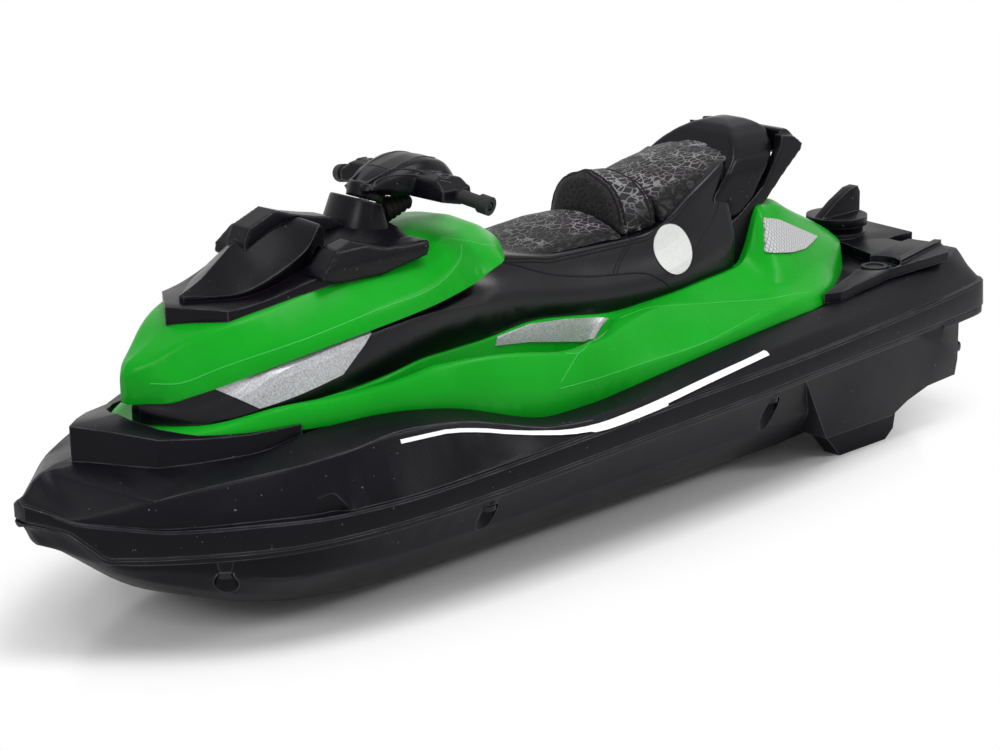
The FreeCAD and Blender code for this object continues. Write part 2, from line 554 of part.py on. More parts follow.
bonnet_ridge = smooth([(34.9, 69.3), (36.6, 72.4), (41, 75.0), (46, 77.6), (50.5, 80.6), (60, 84.2),
                       (70, 87), (90, 91), (120, 94), (134, 95),
                       (147, 94.4), (156, 91), (162, 87.8), (166, 86)])
BONNET_CUTS = (0, 1.6, 1.2, 0)
BONNET_STATIONS = (36.7, 39.4, 42.5, 46.5, 50.5, 134, 140, 143)


def bonnet_half(station):
    return [bonnet_foot(station), bonnet_crease(station), bonnet_edge(station), (0, bonnet_ridge(station))]


bonnet_skin, bonnet_shell = cover(35.4, 165.4, 26, BONNET_STATIONS, bonnet_half, BONNET_CUTS,
                                  size["cover_wall"], (1.5, 3.0))
add_node("bonnet", bonnet_shell)

# ---------------------------------------------------------------- middle body
body_bulge = line((38.6, 1.5, 60.4), (42, 6.8, 59.4), (48, 13.9, 58.4), (54, 19.2, 61),
                  (60, 23.4, 65.4), (66, 26, 69), (98, 29.6, 75), (117, 28.8, 76), (140, 26.4, 74),
                  (150, 25.6, 73), (165, 25.2, 71.4), (185, 25.0, 68), (200, 24.8, 66.5), (215, 24.8, 66),
                  (230, 24.2, 68.4), (245, 22.6, 71), (262, 20.4, 80.4))
pad_foot = line((38.6, 1.3, 84), (48, 12.4, 84), (60, 20, 84), (140, 20, 86), (150, 21, 85),
                (165, 20, 82), (171, 19.6, 80.6), (190, 19.2, 80),
                (210, 19.2, 79.8), (218, 19.2, 81), (225, 19, 84), (232, 18.6, 88), (240, 18, 92),
                 (252, 16.4, 97),
                (262, 16, 97.6))


def body_half(station):
    foot_y, foot_z = body_foot(station)
    bulge_y, bulge_z = body_bulge(station)
    pad_y, pad_z = pad_foot(station)
    if station < 160:
        pad_z = min(pad_z, bonnet_foot(station)[1] + 1.2)
        bulge_z = min(bulge_z, pad_z - 0.4)
    waist = mix((bulge_y, bulge_z), (pad_y, pad_z), 0.55)
    return [(foot_y, foot_z), (bulge_y, bulge_z), (waist[0] - 0.9, waist[1]), (pad_y, pad_z),
            (pad_y - 2.5, pad_z + 0.2), (0, pad_z + 0.2)]


BODY_STATIONS = (42, 45, 48, 51, 146, 150, 154, 218, 225, 232)
body_skin, body_shell = cover(38.8, 250, 26, BODY_STATIONS, body_half, (0, 2.4, 2.4, 0.8, 0, 0),
                              size["cover_wall"], (1.0, 0.5))
seat_body = body_shell.cut([bonnet_skin, fairing_skin])
add_node("seat_body", seat_body)

# ---------------------------------------------------------------- cowl
COWL_PLAN = [(50, 0), (59.5, 15), (84, 21), (96, 23), (112, 22), (124, 19), (124, 0)]
cowl_roof = smooth([(48, 85.0), (51, 85.2), (60, 86), (75, 88.5), (90, 94), (100, 97), (112, 98), (126, 96)])
cowl_edge = line((48, 26, 84.8), (60, 26, 84.6), (72, 26, 86.5), (85, 26, 90.2), (97, 26, 91.8),
                 (110, 26, 92.8),
                 (126, 26, 90.8))


def cowl_half(station, lift):
    edge_y, edge_z = cowl_edge(station)
    roof = cowl_roof(station)
    return [(edge_y, 60), (edge_y, edge_z + lift), (17, edge_z + 0.6 + lift), (8, roof + lift),
            (0, roof + 0.4 + lift)]


cowl_top = skin(spaced(48, 126, 14), lambda s: whole(softened(cowl_half(s, 0), (0, 0, 2, 3, 0))))
COWL_INSIDE = [(52.6, 0), (60.6, 12.8), (84, 19.2), (96, 21.2), (112, 20.2), (122.4, 17.4), (122.4, 0)]
cowl_plan = slab(symmetric(COWL_PLAN), level(80.5), level(110))
cowl_inside = slab(symmetric(COWL_INSIDE), level(70), level(110))
cowl_room = skin(spaced(48, 126, 14), lambda s: whole(cowl_half(s, -1.7))).common(cowl_inside)
cowl = cowl_top.common(cowl_plan).cut([bonnet_skin, cowl_room])
add_node("cowl", cowl)

panel_edge = line((55, 0.8, 87.4), (60, 5, 87.7), (66, 10.5, 88.4), (77, 14, 92.5), (87, 15, 98),
                  (92, 13.6, 102.6),
                  (96, 11, 99))
panel_ridge = smooth([(55, 87.8), (62, 91), (69, 96), (75, 100), (85, 103.6), (92, 104), (96, 100.4)])


def panel_half(station):
    edge_y, edge_z = panel_edge(station)
    return [(0, edge_z - 6), (edge_y * 0.92, edge_z - 6), (edge_y, edge_z - 0.4), (edge_y * 0.94, edge_z),
            (0, panel_ridge(station))]


cowl_lid = skin(spaced(55.4, 95.6, 12), lambda s: whole(panel_half(s)))
cowl_solid = cowl_top.common(cowl_plan)
cowl_panel = cowl_lid.cut(cowl_solid)
add_node("cowl_panel", cowl_panel)

# ---------------------------------------------------------------- seat
seat_ridge = smooth([(148, 84.4), (156, 84.8), (170, 85.4), (179, 86.8), (189, 88.0), (197, 87.8), (204.6, 87.4),
                     (212, 92), (219, 96.6), (230, 98.8), (244, 100), (257, 100.2), (262, 100.2)])
seat_shoulder = line((148, 14.6, 83.4), (156, 16, 83), (170, 16.4, 82.8), (189, 16.4, 83.8), (204.6, 16.4, 84),
                     (219, 16.4, 90.4), (230, 16.2, 94.6), (244, 15.8, 97.6), (262, 15.4, 98.6))


def seat_half(station):
    foot_y, foot_z = pad_foot(station)
    side_y, side_z = seat_shoulder(station)
    crown = seat_ridge(station)
    foot_z = foot_z - 0.4
    side = max(side_z, foot_z + 1.6)
    return [(0, foot_z), (foot_y - 0.6, foot_z), (foot_y + 0.1, foot_z + 0.8), (side_y, side),
            (9, max(crown - 0.7, side + 0.4)), (0, max(crown, side + 1))]


def seat_slice(first, last, section, cuts):
    return skin(spaced(first, last, 8), lambda s: whole(softened(section(s), cuts)))


def bolster_half(station):
    """The bolster between the pads: a high arch that falls away aft under a narrow strap."""
    foot_y, foot_z = pad_foot(station)
    fall = (station - 205.3) / 14.0
    crown = 98.3 - 2.1 * fall
    return [(0, foot_z - 0.4), (foot_y - 0.6, foot_z - 0.4), (16.8 + 0.8 * fall, foot_z + 1.4),
            (15.2 + 2.0 * fall, 88.6 - 0.6 * fall), (10.6 + 0.6 * fall, 95 - fall), (0, crown)]


SEAT_CUTS = (0, 0.6, 0.6, 3, 4, 0)
front_pad = seat_slice(149.5, 204.6, seat_half, SEAT_CUTS)
bolster = seat_slice(205.3, 219.2, bolster_half, SEAT_CUTS)
rear_pad = seat_slice(219.9, 257, seat_half, SEAT_CUTS)

# ---------------------------------------------------------------- backrest and grab handle
REST_PROFILE = [(243, 86), (259.5, 102.5), (262.5, 104.6), (266.5, 105.8), (271, 105.8), (274.8, 104.8), (277, 102.6),
                (264, 86), (260, 78), (243, 78)]
rest_arch = whole([(0, 70), (19.4, 70), (19.4, 92), (18.2, 96), (15.8, 99), (12.6, 101.6), (8.4, 104), (4, 105.4),
                   (0, 105.9)])
backrest = plate(REST_PROFILE, -20, 20).common(front_block(rest_arch, 235, 285))
backrest = backrest.cut([body_skin, fairing_skin])
rear_pad = rear_pad.cut(plate([(243.0, 86.0), (262, 105), (275, 120), (290, 120), (290, 70),
                               (242.2, 70)], -25, 25))
add_node("seat_backrest", backrest)
for name, pad in (("seat_front_pad", front_pad), ("seat_bolster", bolster), ("seat_rear_pad", rear_pad)):
    pad = pad.cut([body_skin, bonnet_skin])
    add_node(name, pad)

LEG_PROFILE = [(233.5, 64), (241, 58), (254.6, 58), (259.5, 71), (265.2, 79.9), (275.6, 89), (283.7, 95.5),
               (284.2, 97.5), (280.2, 100.3), (274, 101.5), (273.5, 97), (266, 86.5), (254.5, 79),
               (241, 72)]
leg = plate(LEG_PROFILE, 16.6, 20)
bar = plate([(276.6, 95.4), (280, 93.6), (284, 96.6), (283.6, 99.4), (280, 102.4), (276.6, 102.6)], -17, 17)
handle = leg.fuse([mirrored(leg), bar])
handle = handle.cut([body_skin, fairing_skin, backrest])
add_node("grab_handle", handle)

# ---------------------------------------------------------------- stern hatch, its knob and the button
KNOB_STATION = 326.2
BATTERY_STATION = 328.6
BUTTON_PLACE = (306.0, 33.0)
HATCH_PLAN = [(343, 0), (341, 21), (334, 19), (330, 19), (330, 25), (334, 25), (336, 37), (329.5, 45),
              (303, 41.4),
              (276, 44), (271, 41), (293, 34.4), (304, 30), (313, 26), (318, 10), (318, 0)]


def lid_low(station):
    return deck_plane(station) + size["seal_thickness"]


def lid_high(station):
    return lid_low(station) + size["hatch_thickness"]


def frame_block(station, length, breadth, low, high):
    """An upright block about a station, across the craft."""
    corner = Vector(along(station) - length / 2, -breadth / 2, low)
    return Part.makeBox(length, breadth, high - low, corner)


opening_length = size["battery_thickness"] + 0.8
opening_breadth = size["battery_length"] + 1.2
tongue_reach = size["tongue_length"]
slot = Part.makeBox(tongue_reach + 0.6, size["tongue_width"] + 0.8, 20,
                    Vector(along(KNOB_STATION), -size["tongue_width"] / 2 - 0.4, up(44)))
hatch_opening = frame_block(BATTERY_STATION, opening_length, opening_breadth, up(44), up(60)).fuse(slot)
button_x = along(BUTTON_PLACE[0])
button_y = across(BUTTON_PLACE[1])


lid_level = up(lid_high(KNOB_STATION + 12)) + 0.2
lid = slab(symmetric(HATCH_PLAN), lid_low, lid_high)
rib = slab([(336, 37), (303, 41.4), (302.6, 39.2), (335, 34.8)], lid_low, lambda s: lid_high(s) + 1.2)
lid = lid.fuse([rib, mirrored(rib), upright(size["knob_radius"] - 0.6, up(54), lid_level, along(KNOB_STATION), 0)])
recess_floor = up(lid_low(BUTTON_PLACE[0])) + 1.3
tail_room = skin(spaced(266, 316, 16), lambda s: whole(inset(softened(fairing_half(s), FAIRING_CUTS), -0.35)))
lid = lid.cut([upright(size["knob_stem_radius"] + size["running_gap"], up(40), up(80), along(KNOB_STATION), 0),
               slab(symmetric(HATCH_PLAN), level(40), lid_low),
               tail_room,
               upright(8.4, recess_floor, up(80), button_x, button_y),
               upright(size["button_radius"] + 0.6, up(40), up(80), button_x, button_y)])
add_node("hatch_cover", lid)

seal_out = slab(symmetric([(340.2, 0), (340.2, 28.6), (318.6, 28.6), (318.6, 0)]),
                lambda s: deck_plane(s) + 0.1, lid_low)
seal = seal_out.cut(frame_block(BATTERY_STATION, opening_length + 1.2, opening_breadth + 1.2, up(44), up(62)))
add_node("hatch_seal", seal)

# ---------------------------------------------------------------- deck, cut and bossed
deck_bosses = []
pilots = []
for station, breadth in SCREWS:
    rim = seam(station)
    deck_bosses.append(post(station, breadth, 3.4, rim + 2.0, 56).common(deck_skin))
    pilots.append(post(station, breadth, size["screw_radius"], 15, rim + 7.0))
button_hole = upright(size["button_radius"] + size["running_gap"], up(44), up(60), button_x, button_y)
deck_shell = deck_solid.cut(deck_room).fuse(both(deck_bosses)).cut([hatch_opening, button_hole] + both(pilots))
add_node("deck_shell", deck_shell)


# ---------------------------------------------------------------- thin films: stickers, stripes, reflectors
def film(first, last, section, cuts, thickness, window, base, count=12, extra=()):
    """What lies within a window, in a thin film just clear of the base it is stuck on."""
    stations = spaced(first, last, count, extra)

    def raised(distance):
        return skin(stations, lambda s: whole(inset(softened(section(s), cuts), -distance)))

    film_gap = size["film_gap"]
    return raised(thickness + film_gap).common(window).cut([raised(film_gap), base])


def add_pair(name, shape):
    add_node(name + "_port", shape)
    add_node(name + "_starboard", mirrored(shape))


thin = size["decal_thickness"]
BODY_CUTS = (0, 2.4, 2.4, 0.8, 0, 0)
front_sticker = film(42, 104, body_half, BODY_CUTS, thin,
                     plate([(52.8, 65.9), (60.2, 68.6), (70.3, 71.5), (81.8, 73.8), (97.6, 75.9), (85.6, 65.3),
                            (61.4, 60.2)], 10, 40), body_skin)
side_sticker = film(143, 199, fairing_half, FAIRING_CUTS, thin,
                    plate([(146, 62.4), (159, 63.6), (173, 62.2), (195, 58.8), (180, 54), (158, 58.4),
                           (145, 60)], 15, 27.5),
                    fairing_skin, 9, FAIRING_STATIONS)
stripe_line = smooth([(88, 50.6), (101, 50.4), (113, 48.4), (124, 45.4), (136, 42.6), (146, 41.0),
                      (155, 40.6),
                      (170, 41.2), (200, 43.4), (229, 46.0)])
half_stripe = size["stripe_width"] / 2
stripe_stations = spaced(88, 229, 30)
stripe_band = ([(s, stripe_line(s) + half_stripe) for s in stripe_stations]
               + [(s, stripe_line(s) - half_stripe) for s in reversed(stripe_stations)])
stripe = film(86, 231, deck_half, DECK_CUTS, thin, plate(stripe_band, 47, 60), deck_skin, 20)
badge = film(212, 232, body_half, BODY_CUTS, thin, disc_across(222, 14, 74, size["badge_radius"], 14), body_skin)
reflector = film(256, 294, fairing_half, FAIRING_CUTS, 2 * thin,
                 plate([(262, 77.2), (269.3, 75.4), (291.4, 65.6), (278.7, 64.7), (270.1, 65.4),
                        (258.4, 67.4)], 14, 36), fairing_skin, 14)
for name, sheet_piece in (("decal_front", front_sticker), ("decal_side", side_sticker), ("stripe", stripe),
                          ("badge", badge), ("reflector", reflector)):
    add_pair(name, sheet_piece)

# ---------------------------------------------------------------- mirrors, visor, neck
MIRROR = [(84, 90.4), (85, 93), (90, 97.6), (96, 99), (107, 95.6), (122, 95.2), (121, 91), (105, 88),
          (88, 88.6)]
mirror_front = [(16.5, 84), (24, 88), (25.2, 93), (24, 97.4), (21, 99.8), (17.5, 100), (16.5, 97)]
mirror = plate(MIRROR, 16, 26).common(front_block(mirror_front, 80, 126))
mirror = mirror.cut([cowl_solid, bonnet_skin, cowl_lid])
add_pair("mirror", mirror)

VISOR = [(74, 99.5), (76, 103), (85, 106.5), (91, 104.5), (98, 102.8), (104, 101.6), (109, 98),
         (109, 92), (74, 92)]
visor = plate(VISOR, -4.2, 4.2).cut([cowl_solid, cowl_lid, bonnet_skin])
visor = max(visor.Solids, key=lambda solid: solid.Volume)
add_node("instrument_visor", visor)

PIVOT = Vector(along(119), 0, up(103.25))
LEAN = Vector(-0.352, 0, 0.936)
NECK = [(103.6, 90), (108, 94.4), (112.6, 102.6), (114.4, 104.98), (123, 101.75), (122, 97.8), (124.4, 90)]
neck_front = [(-10.6, 88), (10.6, 88), (8.8, 104), (7.6, 106), (-7.6, 106), (-8.8, 104)]
neck = plate(NECK, -12, 12).common(front_block(neck_front, 95, 135))
neck = neck.cut([cowl_solid, bonnet_skin, visor])


def on_column(radius, low, high):
    """A round piece on the steering column's line, from one distance to another."""
    return Part.makeCylinder(radius, high - low, PIVOT + LEAN * low, LEAN)


pin = on_column(size["pivot_radius"], -5.2, 5.5)
boot_line = Vector(along(135.5) - along(125.2), 0, up(100.4) - up(99.0))
boot_base = Vector(along(125.2), 0, up(99.0))
boot_root = Part.makeCylinder(2.0, 4.0, boot_base, boot_line * -1)
neck = neck.cut([on_column(size["pivot_radius"], -7, 8), boot_root])
add_node("steering_neck", neck)
add_node("steering_pin", pin)

# ---------------------------------------------------------------- handlebar
pad_low = smooth([(115.5, 106.4), (121, 105), (127, 104.2), (135, 104.8), (148.5, 103.6)])
pad_high = smooth([(115.5, 107.2), (118, 109), (125, 112.2), (135, 114), (142, 112.4), (146, 109.6),
                   (148.5, 106)])
pad_width = smooth([(115.5, 5.4), (118, 6.4), (125, 9.6), (134, 11.4), (142, 10.4), (148.5, 6.4)])


def pad_half(station):
    low = pad_low(station)
    high = max(pad_high(station), low + 1.6)
    width = pad_width(station)
    middle = (low + high) / 2
    return [(0, low), (width - 1.6, low), (width, middle), (width - 2.8, high - 0.5), (0, high)]


def rod(radius, start, end):
    """A round rod between two (station, breadth, height) points."""
    a, b = [Vector(along(s), across(y), up(z)) for s, y, z in (start, end)]
    return Part.makeCylinder(radius, (b - a).Length, a, b - a)


BAR_ROOT = (131.0, 6.0, 108.4)
BAR_END = (137.2, 32.9, 103.2)
share = 1 - size["grip_length"] / Vector(along(6.2) - along(0), across(26.9), up(5.2)).Length
GRIP_START = tuple(a + (b - a) * share for a, b in zip(BAR_ROOT, BAR_END))
CAP_START = tuple(a + (b - a) * 0.88 for a, b in zip(BAR_ROOT, BAR_END))
bar_pad = skin(spaced(115.6, 148.4, 12), lambda s: whole(softened(pad_half(s), (0, 1, 1.6, 2, 0))))
perch = plate([(128.6, 104), (129.2, 109.6), (133, 110.8), (138.6, 109.4), (139.6, 104.8), (135.6, 102.4)], 8, 22.6)
perch_front = [(8, 101), (22.8, 101), (22.8, 107), (18, 110.4), (8, 112)]
perch = perch.common(front_block(perch_front, 120, 145))
handlebar = bar_pad.fuse([on_column(5.4, 0.15, 4.6), perch, mirrored(perch), rod(size["bar_radius"], BAR_ROOT, BAR_END),
                          mirrored(rod(size["bar_radius"], BAR_ROOT, BAR_END))])
handlebar = handlebar.cut(on_column(size["pivot_radius"] + size["running_gap"], -1, 5.6))
add_node("handlebar", handlebar)
grip = rod(size["grip_radius"], GRIP_START, BAR_END).fuse(rod(size["grip_cap_radius"], CAP_START, BAR_END))
add_pair("grip", grip.cut(rod(size["bar_radius"] + 2 * size["film_gap"], BAR_ROOT, BAR_END)))

# ---------------------------------------------------------------- rubber bellows behind the neck
fold_length = boot_line.Length / 5
folds = [Vector(0, 0, 0)]
for i in range(5):
    radius = size["boot_radius"] - 0.35 * i
    folds += [Vector(radius - 0.9, 0, fold_length * i), Vector(radius, 0, fold_length * (i + 0.5))]
folds += [Vector(size["boot_radius"] - 2.3, 0, boot_line.Length), Vector(0, 0, boot_line.Length)]
boot = Part.Face(Part.makePolygon(folds + folds[:1])).revolve(Vector(0, 0, 0), Vector(0, 0, 1), 360)
boot.Placement = Placement(boot_base, Rotation(Vector(0, 0, 1), boot_line))
add_node("steering_boot", boot.fuse(boot_root).cut([cowl_solid, cowl_lid]))

# ---------------------------------------------------------------- builders for the plain pieces
AFT = Rotation(Vector(0, 0, 1), Vector(-1, 0, 0))


def bound(kind, label, base=(), **rules):
    """A Part primitive whose sizes, and the corner it starts from, follow the spreadsheet."""
    item = doc.addObject("Part::" + kind, label)
    for name, rule in rules.items():
        item.setExpression(name, rule)
    for axis, rule in zip("xyz", base):
        item.setExpression("Placement.Base." + axis, rule)
    return item


def joined(label, pieces):
    union = doc.addObject("Part::MultiFuse", label)
    union.Shapes = pieces
    return union


def carved(label, base, tool):
    cut = doc.addObject("Part::Cut", label)
    cut.Base = base
    cut.Tool = tool
    return cut


def stand(item, station, breadth, height, turn=Rotation()):
    item.Placement = Placement(Vector(along(station), across(breadth), up(height)), turn)
    return item


def new_sketch(body, role, name, height=None):
    plane = [feature for feature in body.Origin.OriginFeatures if feature.Role == role][0]
    sketch = body.newObject("Sketcher::SketchObject", name)
    sketch.AttachmentSupport = [(plane, "")]
    sketch.MapMode = "FlatFace"
    if height is not None:
        sketch.setExpression("AttachmentOffset.Base.z", height)
    return sketch


def add_circle(sketch, radius, value):
    circle = sketch.addGeometry(Part.Circle(Vector(0, 0, 0), Vector(0, 0, 1), value), False)
    sketch.addConstraint(Sketcher.Constraint("Coincident", circle, 3, -1, 1))
    index = sketch.addConstraint(Sketcher.Constraint("Radius", circle, value))
    sketch.setExpression("Constraints[%d]" % index, radius)


def add_polygon(sketch, corners):
    """A closed outline; every corner is (x rule, y rule), held from the sketch's origin."""
    spots = [Vector(*[float(sketch.evalExpression(rule)) for rule in corner], 0) for corner in corners]
    first = sketch.GeometryCount
    for a, b in zip(spots, spots[1:] + spots[:1]):
        sketch.addGeometry(Part.LineSegment(a, b), False)
    for i, spot in enumerate(spots):
        following = first + (i + 1) % len(spots)
        sketch.addConstraint(Sketcher.Constraint("Coincident", first + i, 2, following, 1))
    for i, (corner, spot) in enumerate(zip(corners, spots)):
        for kind, rule, value in (("DistanceX", corner[0], spot.x), ("DistanceY", corner[1], spot.y)):
            index = sketch.addConstraint(Sketcher.Constraint(kind, -1, 1, first + i, 1, value))
            sketch.setExpression("Constraints[%d]" % index, rule)


def block_corners(x_low, x_high, y_low, y_high):
    return [(x_low, y_low), (x_high, y_low), (x_high, y_high), (x_low, y_high)]


def add_pad(body, sketch, name, length, reverse=False, middle=False):
    pad = body.newObject("PartDesign::Pad", name)
    pad.Profile = sketch
    pad.setExpression("Length", length)
    pad.Reversed = reverse
    if middle:
        pad.SideType = "Symmetric"
    return pad


def add_pocket(body, sketch, name, length, reverse=False):
    pocket = body.newObject("PartDesign::Pocket", name)
    pocket.Profile = sketch
    pocket.setExpression("Length", length)
    pocket.Reversed = reverse
    return pocket


# ---------------------------------------------------------------- knob that locks the hatch
knob = doc.addObject("PartDesign::Body", "hatch_knob")
steps = [("foot", "Sizes.knob_radius - 1.4", None, "Sizes.knob_foot_height"),
         ("flange", "Sizes.knob_radius", "Sizes.knob_foot_height", "Sizes.knob_height"),
         ("stem", "Sizes.knob_stem_radius", "-Sizes.stem_length", "Sizes.stem_length + 1")]
for name, radius, height, length in steps:
    sketch = new_sketch(knob, "XY_Plane", name + "_outline", height)
    add_circle(sketch, radius, 5)
    add_pad(knob, sketch, name, length)
sketch = new_sketch(knob, "XY_Plane", "tongue_outline", "-Sizes.stem_length")
add_polygon(sketch, block_corners("0", "Sizes.tongue_length", "-Sizes.tongue_width / 2", "Sizes.tongue_width / 2"))
add_pad(knob, sketch, "tongue", "2")
sketch = new_sketch(knob, "XZ_Plane", "fin_outline")
flat = "Sizes.knob_foot_height + Sizes.knob_height - 0.2"
fin_top = "Sizes.knob_foot_height + Sizes.knob_height + Sizes.fin_height"
add_polygon(sketch, [("-Sizes.knob_radius + 0.4", flat), ("-Sizes.knob_radius + 0.4", fin_top + " - 2.2"),
                     ("-Sizes.knob_radius + 1.6", fin_top), ("-Sizes.knob_radius + 5.5", fin_top + " - 0.4"),
                     ("-Sizes.knob_radius + 13", fin_top + " - 4"),
                     ("Sizes.knob_radius - 2", flat + " + 1.2"), ("Sizes.knob_radius - 0.4", flat)])
add_pad(knob, sketch, "fin", "Sizes.fin_thickness", middle=True)
knob.Placement = Placement(Vector(along(KNOB_STATION), 0, lid_level + size["running_gap"]), Rotation())

# ---------------------------------------------------------------- power button and its switch
well_depth = "Sizes.button_travel + 2.2"
button = doc.addObject("PartDesign::Body", "power_button")
for name, radius, height, length in [("cap", "Sizes.button_radius", None, "Sizes.button_height"),
                                     ("collar", "Sizes.button_radius + 0.8", "1", "1")]:
    sketch = new_sketch(button, "XY_Plane", name + "_outline", height)
    add_circle(sketch, radius, 5)
    add_pad(button, sketch, name, length)
sketch = new_sketch(button, "XY_Plane", "dish_outline", "Sizes.button_height")
add_circle(sketch, "Sizes.button_radius - 1.4", 3)
add_pocket(button, sketch, "dish", "0.5")
switch_top = up(deck_plane(BUTTON_PLACE[0] - size["switch_size"] / 2)) - 1.7 * size["deck_wall"] / 1.6 - 0.05
button.Placement = Placement(Vector(button_x, button_y, switch_top - 2.2), Rotation())
housing = bound("Box", "switch_housing", ("-Sizes.switch_size / 2", "-Sizes.switch_size / 2", "-Sizes.switch_size * 0.8"),
                Length="Sizes.switch_size", Width="Sizes.switch_size", Height="Sizes.switch_size * 0.8")
well = bound("Cylinder", "switch_well", ("0", "0", "-2.2 - Sizes.button_travel - 0.1"), Radius="Sizes.button_radius + 1",
             Height="8")
switch = carved("power_switch", housing, well)
switch.Placement = Placement(Vector(button_x, button_y, switch_top), Rotation())

# ---------------------------------------------------------------- drive on each side
shaft_bore = "Sizes.shaft_radius + Sizes.running_gap"
for side, sign in (("port", 1), ("starboard", -1)):
    breadth = sign * SHAFT_Y
    can = bound("Cylinder", "can_" + side, ("0", "0", "-Sizes.motor_length"), Radius="Sizes.motor_radius",
                Height="Sizes.motor_length")
    flats = bound("Box", "flats_" + side, ("-Sizes.motor_radius - 1", "-Sizes.motor_width / 2", "-Sizes.motor_length"),
                  Length="Sizes.motor_radius * 2 + 2", Width="Sizes.motor_width", Height="Sizes.motor_length")
    shell = doc.addObject("Part::MultiCommon", "motor_shell_" + side)
    shell.Shapes = [can, flats]
    nose = bound("Cylinder", "motor_boss_" + side, ("0", "0", "-1"), Radius="Sizes.motor_boss_radius",
                 Height="Sizes.motor_boss_length + 1")
    tail = bound("Cylinder", "motor_tail_" + side, ("0", "0", "-Sizes.motor_length - Sizes.motor_boss_length"),
                 Radius="Sizes.motor_boss_radius", Height="Sizes.motor_boss_length + 1")
    hole = bound("Cylinder", "motor_hole_" + side, ("0", "0", "-6"), Radius=shaft_bore, Height="10")
    motor = carved("motor_" + side, joined("motor_body_" + side, [shell, nose, tail]), hole)
    stand(motor, 265, breadth, SHAFT_Z, AFT)

    outer = bound("Cylinder", "coupling_outer_" + side, Radius="Sizes.coupling_radius", Height="Sizes.coupling_length")
    waist = bound("Torus", "coupling_waist_" + side, ("0", "0", "Sizes.coupling_length / 2"),
                  Radius1="Sizes.coupling_radius + 0.4", Radius2="1.1")
    bore = bound("Cylinder", "coupling_bore_" + side, ("0", "0", "-1"), Radius="Sizes.shaft_radius",
                 Height="Sizes.coupling_length + 2")
    coupling = carved("coupling_" + side, carved("coupling_body_" + side, outer, waist), bore)
    stand(coupling, 268.6, breadth, SHAFT_Z, AFT)

    shaft = bound("Cylinder", "shaft_" + side, Radius="Sizes.shaft_radius", Height="Sizes.shaft_length")
    stand(shaft, 259.6, breadth, SHAFT_Z, AFT)

    sleeve = bound("Cylinder", "tube_outer_" + side, Radius="Sizes.tube_radius", Height="Sizes.tube_length")
    bore = bound("Cylinder", "tube_bore_" + side, ("0", "0", "-1"), Radius=shaft_bore, Height="Sizes.tube_length + 2")
    stand(carved("shaft_tube_" + side, sleeve, bore), 281.4, breadth, SHAFT_Z, AFT)

    ring = bound("Cylinder", "ring_outer_" + side, Radius="Sizes.duct_radius", Height="Sizes.duct_length")
    bore = bound("Cylinder", "ring_bore_" + side, ("0", "0", "-1"), Radius="Sizes.duct_radius - Sizes.duct_wall",
                 Height="Sizes.duct_length + 2")
    stand(carved("nozzle_" + side, ring, bore), 326, breadth, SHAFT_Z, AFT)


def blade(turn, hand):
    """One twisted blade, drawn along local X from inside the hub to the tip."""
    wires = []
    for share, pitch, chord in ((0.30, 58, 4.4), (0.62, 42, 5.6), (1.0, 30, 5.0)):
        reach = size["propeller_radius"] * share
        half = size["blade_thickness"] / 2
        corners = []
        for across_chord, through in ((-chord / 2, -half), (chord / 2, -half), (chord / 2, half),
                                      (-chord / 2, half)):
            angle = math.radians(pitch * hand)
            y = across_chord * math.cos(angle) - through * math.sin(angle)
            z = across_chord * math.sin(angle) + through * math.cos(angle)
            corners.append(Vector(reach, y, z + size["propeller_hub_length"] / 2))
        wires.append(Part.makePolygon(corners + corners[:1]))
    shape = Part.makeLoft(wires, True, True)
    shape.rotate(Vector(0, 0, 0), Vector(0, 0, 1), turn)
    return shape


def propeller(hand):
    radius = size["propeller_hub_radius"]
    length = size["propeller_hub_length"]
    hub = Part.makeCylinder(radius, length - 2)
    spinner = Part.makeCone(radius, radius * 0.45, 2, Vector(0, 0, length - 2))
    rim = Part.makeCylinder(size["propeller_radius"], length)
    blades = [blade(120 * i, hand).common(rim) for i in range(3)]
    return hub.fuse([spinner] + blades).cut(Part.makeCylinder(size["shaft_radius"], length - 2))


for side, sign in (("port", 1), ("starboard", -1)):
    node = add_node("propeller_" + side, propeller(sign))
    stand(node, 333.6, sign * SHAFT_Y, SHAFT_Z, AFT)

# ---------------------------------------------------------------- bulkhead that holds the motors
bulkhead = plate([(265, 3), (265 + size["mount_thickness"], 3), (265 + size["mount_thickness"], 34.6),
                  (265, 34.6)],
                 -52, 52)
bulkhead = bulkhead.common(hull_solid(size["hull_wall"] + 0.03, 3, 240, 290))
windows = [disc_along(270, sign * SHAFT_Y, SHAFT_Z, size["motor_boss_radius"] + 0.1, 12) for sign in (1, -1)]
windows.append(Part.makeBox(12, 44, up(20), Vector(along(272), -22, up(9))))
add_node("motor_mount", bulkhead.cut(windows))

# ---------------------------------------------------------------- battery, tray, receiver
room = "Sizes.battery_%s + 2 * Sizes.fit_gap"
tray_length = room % "thickness"
tray_width = room % "length"
outer = bound("Box", "tray_outer", ("-(%s) / 2 - Sizes.tray_wall" % tray_length,
                                    "-(%s) / 2 - Sizes.tray_wall" % tray_width, "0"),
              Length=tray_length + " + 2 * Sizes.tray_wall", Width=tray_width + " + 2 * Sizes.tray_wall",
              Height="Sizes.battery_height * 0.45")
inner = bound("Box", "tray_inner", ("-(%s) / 2" % tray_length, "-(%s) / 2" % tray_width, "Sizes.tray_wall"),
              Length=tray_length, Width=tray_width, Height="Sizes.battery_height")
foot = bound("Box", "tray_foot", ("-3.5", "-18", "-Sizes.tray_lift"), Length="11.5", Width="36", Height="Sizes.tray_lift + 0.5")
tray = joined("battery_tray", [carved("tray_box", outer, inner), foot])
tray_foot = up(12.0)
